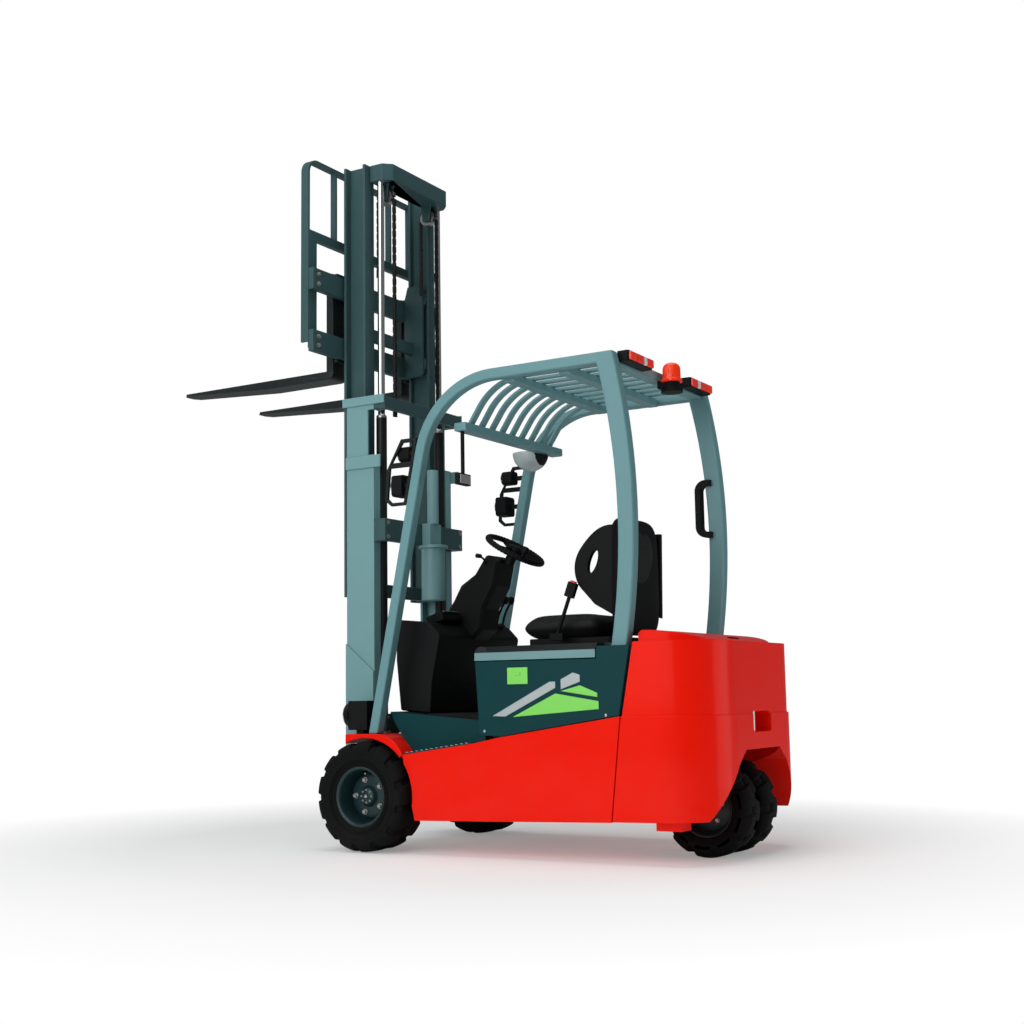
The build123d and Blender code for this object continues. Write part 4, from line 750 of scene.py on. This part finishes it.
class FORKLIFT_OT_body(bpy.types.Operator):
    """Body, counterweight, fenders, hood, panels, steps and cowl with rounded edges and paint."""
    bl_idname = "forklift.body"
    bl_label = "Body"

    def execute(self, context):
        rounded_copies("red_gloss", "red_paint", chassis=1)
        rounded_copies("red_gloss", "cast_iron", counterweight=1.6)
        rounded_copies("red_gloss", "red_paint", fenders=1, rear_cover=1.5)
        rounded_copies("hood_paint", "grey_paint", hood=1.5)
        rounded_copies("deep_paint", "dark_paint", side_panels=0.6, steps=0.7)
        rounded_copies("moulded_black", "black_plastic", cowl=2, steering_column=1.6, seat_base=1, pedals=1)
        return {"FINISHED"}


class FORKLIFT_OT_guard(bpy.types.Operator):
    """Overhead guard, its roof bars, lamp frames and lamp housings, and the grab handle."""
    bl_idname = "forklift.guard"
    bl_label = "Guard"

    def execute(self, context):
        rounded_copies("slate_paint", "grey_paint", guard_frames=2)
        rounded_copies("slate_paint", "dark_paint", guard_beams=1.2)
        rounded_copies("slate_paint", "grey_paint", guard_bars=0.6)
        rounded_copies("frame_black", "grey_paint", lamp_frames=0.6)
        rounded_copies("moulded_black", "black_plastic", grab_handle=2)
        rounded_copies("moulded_black", "red_lens", rear_lamps=1)
        rounded_copies("moulded_black", "black_plastic", beacon_base=0.5, pillar_lamps=1.5, fender_lamps=2)
        return {"FINISHED"}


PLAIN_PARTS = {  # parts that keep their own mesh, by finish
    "frame_black": ("lift_barrels", "tilt_barrels", "tilt_brackets", "battery", "drive_axle", "steer_unit"),
    "bright_chrome": ("lift_rods", "tilt_rods"),
    "bare_steel": ("sheaves", "tow_pin"),
    "floor_rubber": ("floor_plate",),
}


class FORKLIFT_OT_mast(bpy.types.Operator):
    """Mast rails, ties, plates, carriage, backrest and forks, and the finishes of parts kept plain."""
    bl_idname = "forklift.mast"
    bl_label = "Mast and carriage"

    def execute(self, context):
        rounded_copies("mast_paint", "grey_paint", outer_rails=0.7, rail_plates=0.5)
        # The inner parts take the darkened slate, as painted shade
        rounded_copies("dim_paint", "dark_paint", inner_rails=0.6, outer_ties=1, inner_ties=1,
                       carriage_plates=0.6, fork_bars=0.8, backrest=0.6)
        rounded_copies("fork_black", "dark_paint", fork_left=1, fork_right=1)
        rounded_copies("mast_paint", "grey_paint", guide_tube=0.6)
        for finish, nodes in PLAIN_PARTS.items():
            for node in nodes:
                set_material(frame["nodes"][node].data, finish_of(finish))
        return {"FINISHED"}


def link_plates(run, pitch, y, thick=0.0022, gap=0.0009, count=5):
    """Leaf chain links up a run of (x, z) places: each plate is an outline of two round ends,
    stood on edge beside the next, alternate rows half a link on."""
    steps = 16
    angle = circle(steps)
    length = np.cos(angle) * 0.5 * pitch * 0.94 + np.sign(np.cos(angle)) * pitch * 0.5
    outline = np.stack([np.sin(angle) * 0.0066, np.zeros(steps), length], axis=-1)
    faces = [tuple(f) for f in grid_faces(2, steps, wrap_columns=True)]
    faces += [tuple(range(steps - 1, -1, -1)), tuple(range(steps, 2 * steps))]
    shapes = []
    for row in range(count):
        middle = y + (row - (count - 1) / 2) * (thick + gap)
        for x, z in run[row % 2::2]:
            ends = [outline + (x, middle + side * thick / 2, z) for side in SIDES]
            shapes.append((np.vstack(ends), faces))
    return shapes


class FORKLIFT_OT_chains(bpy.types.Operator):
    """Lift chains as rows of leaf links with their pins, round the sheaves."""
    bl_idname = "forklift.chains"
    bl_label = "Lift chains"

    def execute(self, context):
        pitch = context.scene.forklift_sizes.link_pitch
        low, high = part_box("lift_chains")
        sheave_x, sheave_z, bend = FRONT_AXLE + 0.105, high[2] - 0.051, 0.045
        front_end = 2.56
        pin = ((0, -10.5), (2.6, -10.5), (2.6, 10.5), (0, 10.5))
        shapes = []
        for side in SIDES:
            y = side * 0.174
            for x, end in ((sheave_x - bend, low[2]), (sheave_x + bend, front_end)):
                count = int((sheave_z - end) / pitch)
                heights = sheave_z - pitch * (np.arange(count) + 0.5)
                shapes += link_plates([(x, z) for z in heights[1:-1]], pitch, y)
                shapes += [turned(pin, (x, y, z + pitch / 2), "Y", 8) for z in heights]
                shapes.append(block((x, y, heights[-1] + 0.012), (0.011, 0.021, 0.036)))
            arc = np.linspace(0, math.pi, 18)
            path = np.stack([sheave_x + bend * np.cos(arc), np.full(18, y), sheave_z + bend * np.sin(arc)], axis=-1)
            shapes += [tube(path + (0, row * 0.0036, 0), 0.0055, sides=8, flat=0.25) for row in range(-2, 3)]
        made = piece("chain_links", shapes, "oiled_chain", "inner_mast", smooth=30)
        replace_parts(made, "lift_chains")
        return {"FINISHED"}


# ---- Seat and controls ----

def rounded_power(value, exponent):
    """The size of a number raised to a power, with the number's own sign."""
    return np.sign(value) * np.abs(value) ** exponent


def pillow(half, power, dish=0.0, front_drop=0.0, steps=56):
    """A cushion as a closed form over two angles: across and along follow a rounded square, the
    height follows a flatter curve, the top is dished by the square of the distance across, and
    the front edge falls by the cube of the distance along."""
    u = np.linspace(-0.5 * math.pi, 0.5 * math.pi, steps)[:, None]
    v = circle(2 * steps)[None, :]
    x = rounded_power(np.cos(u), 0.55) * rounded_power(np.cos(v), 2 / power)
    y = rounded_power(np.cos(u), 0.55) * rounded_power(np.sin(v), 2 / power)
    z = rounded_power(np.sin(u), 0.8) + 0 * v
    top = (z > 0).astype(float)
    z = z * (1 + top * dish * (y**4 - 0.35)) - front_drop * np.clip(x, 0, 1) ** 3 * top
    points = np.stack([x * half[0], y * half[1], z * half[2]], axis=-1).reshape(-1, 3)
    return points, grid_faces(steps, 2 * steps, wrap_columns=True)


def read_points(mesh):
    """A mesh's points as an array."""
    points = np.empty(len(mesh.vertices) * 3)
    mesh.vertices.foreach_get("co", points)
    return points.reshape(-1, 3)


def swell(made, limit, voxel=0.006, pressure=4.0, stiffness=25.0):
    """Blows the cover up a little by cloth simulation: remesh, pressure without gravity for
    twenty steps, each point kept within a limit of where it began, then the shape is kept."""
    if limit <= 0:
        return
    scene = bpy.context.scene
    bpy.context.view_layer.objects.active = made
    remesh = made.modifiers.new("remesh", "REMESH")
    remesh.mode, remesh.voxel_size = "VOXEL", voxel
    mesh = bpy.data.meshes.new_from_object(made.evaluated_get(bpy.context.evaluated_depsgraph_get()))
    made.modifiers.clear()
    set_material(mesh, made.data.materials[0])
    made.data = mesh
    before = read_points(mesh)
    settings = made.modifiers.new("cover", "CLOTH").settings
    settings.use_pressure = True
    settings.uniform_pressure_force = pressure
    settings.tension_stiffness = settings.compression_stiffness = stiffness
    settings.bending_stiffness = 2
    settings.effector_weights.gravity = 0
    for step in range(1, 21):
        scene.frame_set(step)
    moved = read_points(made.evaluated_get(bpy.context.evaluated_depsgraph_get()).data) - before
    moved *= np.minimum(1, limit / np.maximum(np.linalg.norm(moved, axis=1, keepdims=True), 1e-9))
    made.modifiers.clear()
    scene.frame_set(1)
    mesh.vertices.foreach_set("co", (before + moved).ravel())
    mesh.polygons.foreach_set("use_smooth", np.ones(len(mesh.polygons), bool))
    mesh.update()


def seat_pad(name, shape):
    """A leather pad on the hood: swelled and smoothed."""
    made = piece(name, shape, "seat_leather", "hood", smooth=60)
    swell(made, bpy.context.scene.forklift_sizes.seat_puff)
    smoother = made.modifiers.new("subdivision", "SUBSURF")
    smoother.levels = smoother.render_levels = 1
    return made


def bend_back(points, foot, lean, bow):
    """A seat back's points leaned and bowed: each goes back by the lean times its height over the
    foot, and forward by the bow times the square of its distance from the middle."""
    points[:, 0] += -lean * (points[:, 2] - foot) + bow * (points[:, 1] / 0.22) ** 2
    return points


class FORKLIFT_OT_seat(bpy.types.Operator):
    """Padded seat with its back, wings, sewn lines, belt stalk and red release."""
    bl_idname = "forklift.seat"
    bl_label = "Seat"

    def execute(self, context):
        points, faces = pillow((0.195, 0.226, 0.046), 7, dish=0.4, front_drop=0.3)
        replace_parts(seat_pad("seat_cushion_pad", (points + at(-795, 0, 924), faces)), "seat_cushion")
        # A pillow stands up when its height and its depth change places
        centre = at(-1022, 0, 1138)
        points, faces = pillow((0.205, 0.186, 0.034), 4, dish=0.35)
        points = bend_back(points[:, ::-1] + centre, centre[2] - 0.2, 0.05, 0.01)
        seat_pad("seat_back_pad", (points, faces))
        points, faces = pillow((0.245, 0.214, 0.024), 5)
        shape = (points[:, ::-1] + at(-1050, 0, 1125), faces)
        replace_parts(piece("seat_shell", shape, "moulded_black", "hood", smooth=60), "seat_back")
        rounded_copy("hip_wings", 0.008, "moulded_black", segments=4)
        rounded_copy("belt_stalk", 0.003, "moulded_black")
        lines = []
        for y in (-110, 0, 110):
            path = place([(-640, y, 950), (-740, y, 963), (-860, y, 968), (-950, y, 964)])
            lines.append(tube(smooth_path(path, 40), 0.0016, sides=8))
        piece("seat_stitch_lines", lines, "moulded_black", "hood")
        button = block(at(-897, 262, 1096), (0.026, 0.014, 0.012), -21)
        piece("belt_button", button, "red_button", "hood", bevel=0.002)
        return {"FINISHED"}


STEERING_HUB = ((0, 20), (18, 21), (30, 18), (36, 8), (37, -12), (30, -21), (0, -21))
SPINNER_KNOB = ((0, 58), (12, 56), (19, 46), (18, 34), (9, 24), (8, 8), (0, 8))


class FORKLIFT_OT_steering(bpy.types.Operator):
    """Steering wheel with grip ripples, spokes, hub cap and spinner knob."""
    bl_idname = "forklift.steering"
    bl_label = "Steering wheel"

    def execute(self, context):
        lean, radius, centre = math.radians(31), 0.131, at(-463, 0, 1278)
        axis = np.array([-math.sin(lean), 0, math.cos(lean)])
        ahead = np.array([math.cos(lean), 0, math.sin(lean)])
        side = np.array([0, 1, 0])
        basis = np.stack([ahead, side, axis])

        def way(angle):
            """The direction at an angle in the wheel's plane, from the one straight ahead."""
            return np.cos(angle) * ahead + np.sin(angle) * side

        def on_axis(profile, spot, steps):
            """A profile turned round the wheel's axis at a point."""
            points, faces = turned(profile, (0, 0, 0), "Z", steps)
            return points @ basis + spot, faces

        angle = circle(288)
        grip = 0.0122 + 0.0007 * np.cos(angle * 48)
        shapes = [tube(radius * way(angle[:, None]) + centre, grip, axis, 20, closed=True),
                  on_axis(STEERING_HUB, centre, 64)]
        for spoke in (way(math.radians(turn)) for turn in (90, 210, 330)):
            line = smooth_path([centre + spoke * 0.026, centre + spoke * 0.075 - axis * 0.004,
                                centre + spoke * 0.127], 24)
            shapes.append(tube(line, np.linspace(0.015, 0.012, 24), np.cross(axis, spoke), 14, flat=0.3))
        shapes.append(on_axis(SPINNER_KNOB, centre + radius * way(2.4), 40))
        made = piece("steering_wheel_grip", shapes, "moulded_black", "steering_wheel", smooth=50)
        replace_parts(made, "steering_wheel")
        return {"FINISHED"}


LEVER_KNOB = ((0, -20), (11, -18), (16, 0), (14, 14), (0, 20))
LEVER_BOOT = ((0, 14), (10, 14), (18, 6), (22, -4), (0, -4))
DIRECTION_KNOB = ((0, -18), (9, -15), (10, 12), (0, 18))


def floor_mat():
    """A ribbed mat on the sloping floor: its top follows the slope plus a clipped sine, its
    underside the slope alone, and the two grids are joined round their edge."""
    rows, columns = 160, 5
    u = np.linspace(0, 1, rows)[:, None]
    y = np.linspace(-0.385, 0.385, columns)[None, :] + 0 * u
    x = FRONT_AXLE - 0.235 - 0.305 * u + 0 * y
    ribs = 0.0035 + 0.0012 * np.clip(np.sin(u * 150), -0.3, 0.6)
    floor = on_line(x, *FLOOR_LINE)
    layers = [np.stack([x, y, floor + rise], axis=-1).reshape(-1, 3) for rise in (ribs, 0.0003)]
    grid, shift = grid_faces(rows, columns), rows * columns
    faces = [tuple(f) for f in grid] + [tuple(int(i) + shift for i in f[::-1]) for f in grid]
    edge = [r * columns for r in range(rows)] + [(rows - 1) * columns + c for c in range(1, columns)]
    edge += [r * columns + columns - 1 for r in range(rows - 2, -1, -1)] + list(range(columns - 2, 0, -1))
    faces += [(a, b, b + shift, a + shift) for a, b in zip(edge, edge[1:] + edge[:1])]
    return np.vstack(layers), faces


class FORKLIFT_OT_controls(bpy.types.Operator):
    """Hydraulic levers, direction lever, gauge pod and floor mat."""
    bl_idname = "forklift.controls"
    bl_label = "Controls"

    def execute(self, context):
        rods, knobs = [], []
        for y in (-150, -202, -254):
            path = smooth_path(place([(-232, y, 940), (-250, y, 1010), (-285, y, 1075)]), 20)
            rods.append(tube(path, 0.0055, sides=12))
            knobs += [turned(LEVER_KNOB, path[-1], "Z", 32), turned(LEVER_BOOT, at(-228, y, 958), "Z", 32)]
        path = smooth_path(place([(-350, 60, 1212), (-368, 110, 1236), (-378, 168, 1246)]), 20)
        rods.append(tube(path, 0.0045, (0, 0, 1), 12))
        knobs.append(turned(DIRECTION_KNOB, path[-1], "Y", 24))
        piece("lever_rods", rods, "frame_black", "chassis")
        piece("lever_knobs", knobs, "moulded_black", "chassis")
        pod = block(at(-196, 170, 978), (0.086, 0.15, 0.044), 18)
        piece("gauge_pod", pod, "moulded_black", "chassis", bevel=0.008, segments=3)
        face = block(at(-206, 170, 1001), (0.06, 0.118, 0.003), 18)
        piece("gauge_face", face, "lamp_glass", "chassis", bevel=0.001)
        piece("floor_mat", floor_mat(), "floor_rubber", "chassis")
        return {"FINISHED"}


# ---- Lamps, mirrors and trim ----

BEACON_DOME = ((0, 0), (43.5, 0), (44, 10), (38.5, 16), (37.8, 40), (37.5, 56), (35, 67), (28, 76), (16, 82))
FENDER_LENS = ((0, 2), (20, 1), (38, -4), (46, -12), (0, -12))
FENDER_BEZEL = ((45, -14), (52, -14), (53, 0), (49, 3), (45, 0), (45, -14))
REAR_LENSES = (
    # name, spans across from the middle, finish, slot
    ("rear_lens_red", ((0.286, 0.344), (0.196, 0.25)), "lens_red", "red_lens"),
    ("rear_lens_amber", ((0.35, 0.404),), "lens_amber", "amber_lens"),
    ("rear_lens_white", ((0.256, 0.28),), "lens_white", "red_lens"),
)


def beacon_dome():
    """The beacon's dome: a smoothed profile turned round, its radius rippled by the cosine of
    thirty-six times the angle above its foot."""
    low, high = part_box("beacon")
    middle, base, top = (float(v) for v in ((low[0] + high[0]) / 2, low[2], high[2]))
    steps, ripples, depth, foot, fade = 144, 36, 0.03, 20, 10
    outline = np.array(BEACON_DOME + ((0, (top - base) * 1000),))
    fine = smooth_path(outline, 70)
    fine[:, 0] = np.clip(fine[:, 0], 0, outline[:, 0].max())
    points, faces = turned(fine, (middle, 0, base), "Z", steps)
    above = np.clip((np.tile(fine[:, 1], steps) - foot) / fade, 0, 1)
    ripple = 1 - depth * (0.5 + 0.5 * np.cos(np.repeat(circle(steps), len(fine)) * ripples)) * above
    points[:, 0] = middle + (points[:, 0] - middle) * ripple
    points[:, 1] *= ripple
    points[:, 2] = np.clip(points[:, 2], base, top)
    return points, faces


def mirror_bowl():
    """The round mirror: a thin quarter-circle profile turned round, and flattened at its rear."""
    u = np.linspace(0, 0.5 * math.pi, 24)
    outer, inner = (np.stack([r * np.sin(u), -r * np.cos(u)], axis=-1) for r in (84.5, 83.2))
    points, faces = turned(np.vstack([outer, [(83.2, -0.2)], inner[::-1]]), at(-364, -322, 1766), "Z")
    points[:, 0] = np.maximum(points[:, 0], FRONT_AXLE - 0.4215)
    return points, faces


class FORKLIFT_OT_lamps(bpy.types.Operator):
    """Lamp lenses, bezels, the ribbed beacon and the mirrors' glass."""
    bl_idname = "forklift.lamps"
    bl_label = "Lamps and mirrors"

    def execute(self, context):
        low, high = (corner.tolist() for corner in np.asarray(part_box("rear_lamps"), float))
        for name, spans, finish, slot in REAR_LENSES:
            shapes = [block((low[0] - 0.001, side * (near + far) / 2, (high[2] + low[2]) / 2),
                            (0.016, far - near, high[2] - low[2] - 0.01)) for side in SIDES for near, far in spans]
            piece(name, shapes, finish, "chassis", bevel=0.004, segments=3)
        made = piece("beacon_dome", beacon_dome(), "lens_amber", "chassis", smooth=60)
        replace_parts(made, "beacon")
        lenses, bezels = [], []
        fender_front = float(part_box("fender_lamps")[1][0])
        for side in SIDES:
            spot = (fender_front, side * 0.4, 0.568)
            lenses.append(turned(FENDER_LENS, spot, "X", 48))
            bezels.append(turned(FENDER_BEZEL, spot, "X", 48))
            for z, s in ((1676, 26), (1540, 38)):
                spot = at(on_line(z, *PILLAR_LINE) + 94, side * 424, z)
                lens = ((0, 6), (s * 0.6, 5), (s, 1), (s, -4), (0, -4))
                bezel = ((s, -4), (s + 5, -4), (s + 5, 6), (s, 7), (s, -4))
                lenses.append(turned(lens, spot, "X", 40))
                bezels.append(turned(bezel, spot, "X", 40))
        piece("lamp_lenses", lenses, "lamp_glass", "chassis")
        piece("lamp_bezels", bezels, "bright_chrome", "chassis")
        rounded_copy("mirrors", 0.0015, "moulded_black")
        mirror = block(at(-465.2, 400, 1547), (0.0016, 0.078, 0.038))
        piece("flat_mirror_glass", mirror, "mirror_glass", "chassis", bevel=0.0006)
        piece("dome_mirror_glass", mirror_bowl(), "mirror_bowl", "chassis", smooth=60)
        return {"FINISHED"}


STRIPES = (
    ("silver_stripes", "silver_film", "steel", (
        ((-640, 560), (-905, 692), (-930, 692), (-930, 668), (-700, 558)),
        ((-955, 700), (-1010, 726), (-1040, 716), (-1040, 690), (-955, 662)))),
    ("green_stripes", "green_film", "dark_paint", (
        ((-735, 556), (-930, 646), (-1120, 614), (-1120, 584)),
        ((-955, 655), (-1040, 676), (-1115, 646), (-1115, 630)))),
)
GLAND_RING = ((16.5, -4), (23.5, -4), (23.5, 6), (19, 10), (16.5, 10), (16.5, -4))


class FORKLIFT_OT_trim(bpy.types.Operator):
    """Side stripes, socket covers, step strips, latch and bolts."""
    bl_idname = "forklift.trim"
    bl_label = "Trim and bolts"

    def execute(self, context):
        for name, finish, slot, wedges in STRIPES:
            shapes = []
            for side in SIDES:
                near, far = sorted((side * (BODY_SIDE - 1) / 1000, side * (BODY_SIDE + 0.8) / 1000))
                shapes += [prism(place([(x, 0, z) for x, z in wedge])[:, ::2], near, far) for wedge in wedges]
            piece(name, shapes, finish, "chassis", bevel=0.0002, segments=1)
        covers, dashes, bolts = [], [], []
        radius = context.scene.forklift_sizes.bolt_radius
        for side in SIDES:
            covers.append(block(at(-760, side * (BODY_SIDE + 2), 718), (0.094, 0.006, 0.066)))
            covers.append(block(at(-760, side * (BODY_SIDE + 6), 726), (0.03, 0.006, 0.012)))
            for x in -205 - 320 * (np.arange(13) + 0.5) / 13:
                dashes.append(block(at(x, side * 482, on_line(x, *STEP_LINE)), (0.017, 0.006, 0.002), -7.7))
            top = place([(-118, side * 396, 488), (-2, side * 344, 488)])
            bolts.append(bolt_heads(top, (0, 0, 1), radius * 0.8, 0.006))
            flank = place([(-600, side * BODY_SIDE, 500), (-1150, side * BODY_SIDE, 560)])
            bolts.append(bolt_heads(flank, (0, side, 0), radius * 0.5, 0.003))
        piece("socket_covers", covers, "green_film", "chassis", bevel=0.002, segments=3)
        piece("step_dashes", dashes, "pale_trim", "chassis", bevel=0.0004, segments=1)
        piece("body_bolts", bolts, "bare_steel", "chassis", smooth=30)
        bolts = [bolt_heads(place([(18, y, z) for y in (-290, 290)]), (-1, 0, 0), radius, 0.007)
                 for z in (1348, 1412, 488, 552)]
        piece("mast_bolts", bolts, "bare_steel", "mast", smooth=30)
        bolts = [bolt_heads(at(x, side * 468, z), (way, 0, 0), radius, height)
                 for side in SIDES for z in (2216, 2256, 2500, 2544)
                 for x, way, height in ((312, 1, 0.008), (270, -1, 0.01))]
        piece("backrest_bolts", bolts, "bare_steel", "carriage", smooth=30)
        glands = [turned(GLAND_RING, at(95, side * 231, 1904), "Z", 32) for side in SIDES]
        piece("gland_rings", glands, "bare_steel", "mast", smooth=30)
        latch = block(at(-1480, 0, 856), (0.016, 0.09, 0.006), -15)
        piece("cover_latch", latch, "moulded_black", "chassis", bevel=0.002)
        return {"FINISHED"}


OPERATORS = (
    FORKLIFT_OT_stage, FORKLIFT_OT_tyres, FORKLIFT_OT_rims, FORKLIFT_OT_body, FORKLIFT_OT_guard,
    FORKLIFT_OT_mast, FORKLIFT_OT_chains, FORKLIFT_OT_seat, FORKLIFT_OT_steering, FORKLIFT_OT_controls,
    FORKLIFT_OT_lamps, FORKLIFT_OT_trim,
)


class FORKLIFT_PT_panel(bpy.types.Panel):
    """Lists the truck's pieces, sizes and colours in the sidebar."""
    bl_idname = "FORKLIFT_PT_panel"
    bl_label = "Forklift"
    bl_space_type = "VIEW_3D"
    bl_region_type = "UI"
    bl_category = "Forklift"

    def draw(self, context):
        for group in (context.scene.forklift_sizes, context.scene.forklift_colours):
            box = self.layout.box()
            for name in group.__annotations__:
                box.prop(group, name)
        for operator in OPERATORS:
            self.layout.operator(operator.bl_idname)


CLASSES = (FORKLIFT_PG_sizes, FORKLIFT_PG_colours) + OPERATORS + (FORKLIFT_PT_panel,)


def register():
    for item in CLASSES:
        bpy.utils.register_class(item)
    bpy.types.Scene.forklift_sizes = bpy.props.PointerProperty(type=FORKLIFT_PG_sizes)
    bpy.types.Scene.forklift_colours = bpy.props.PointerProperty(type=FORKLIFT_PG_colours)


def unregister():
    del bpy.types.Scene.forklift_colours
    del bpy.types.Scene.forklift_sizes
    for item in reversed(CLASSES):
        bpy.utils.unregister_class(item)


def main():
    register()
    for operator in OPERATORS:
        group, name = operator.bl_idname.split(".")
        getattr(getattr(bpy.ops, group), name)()


if __name__ == "__main__":
    main()
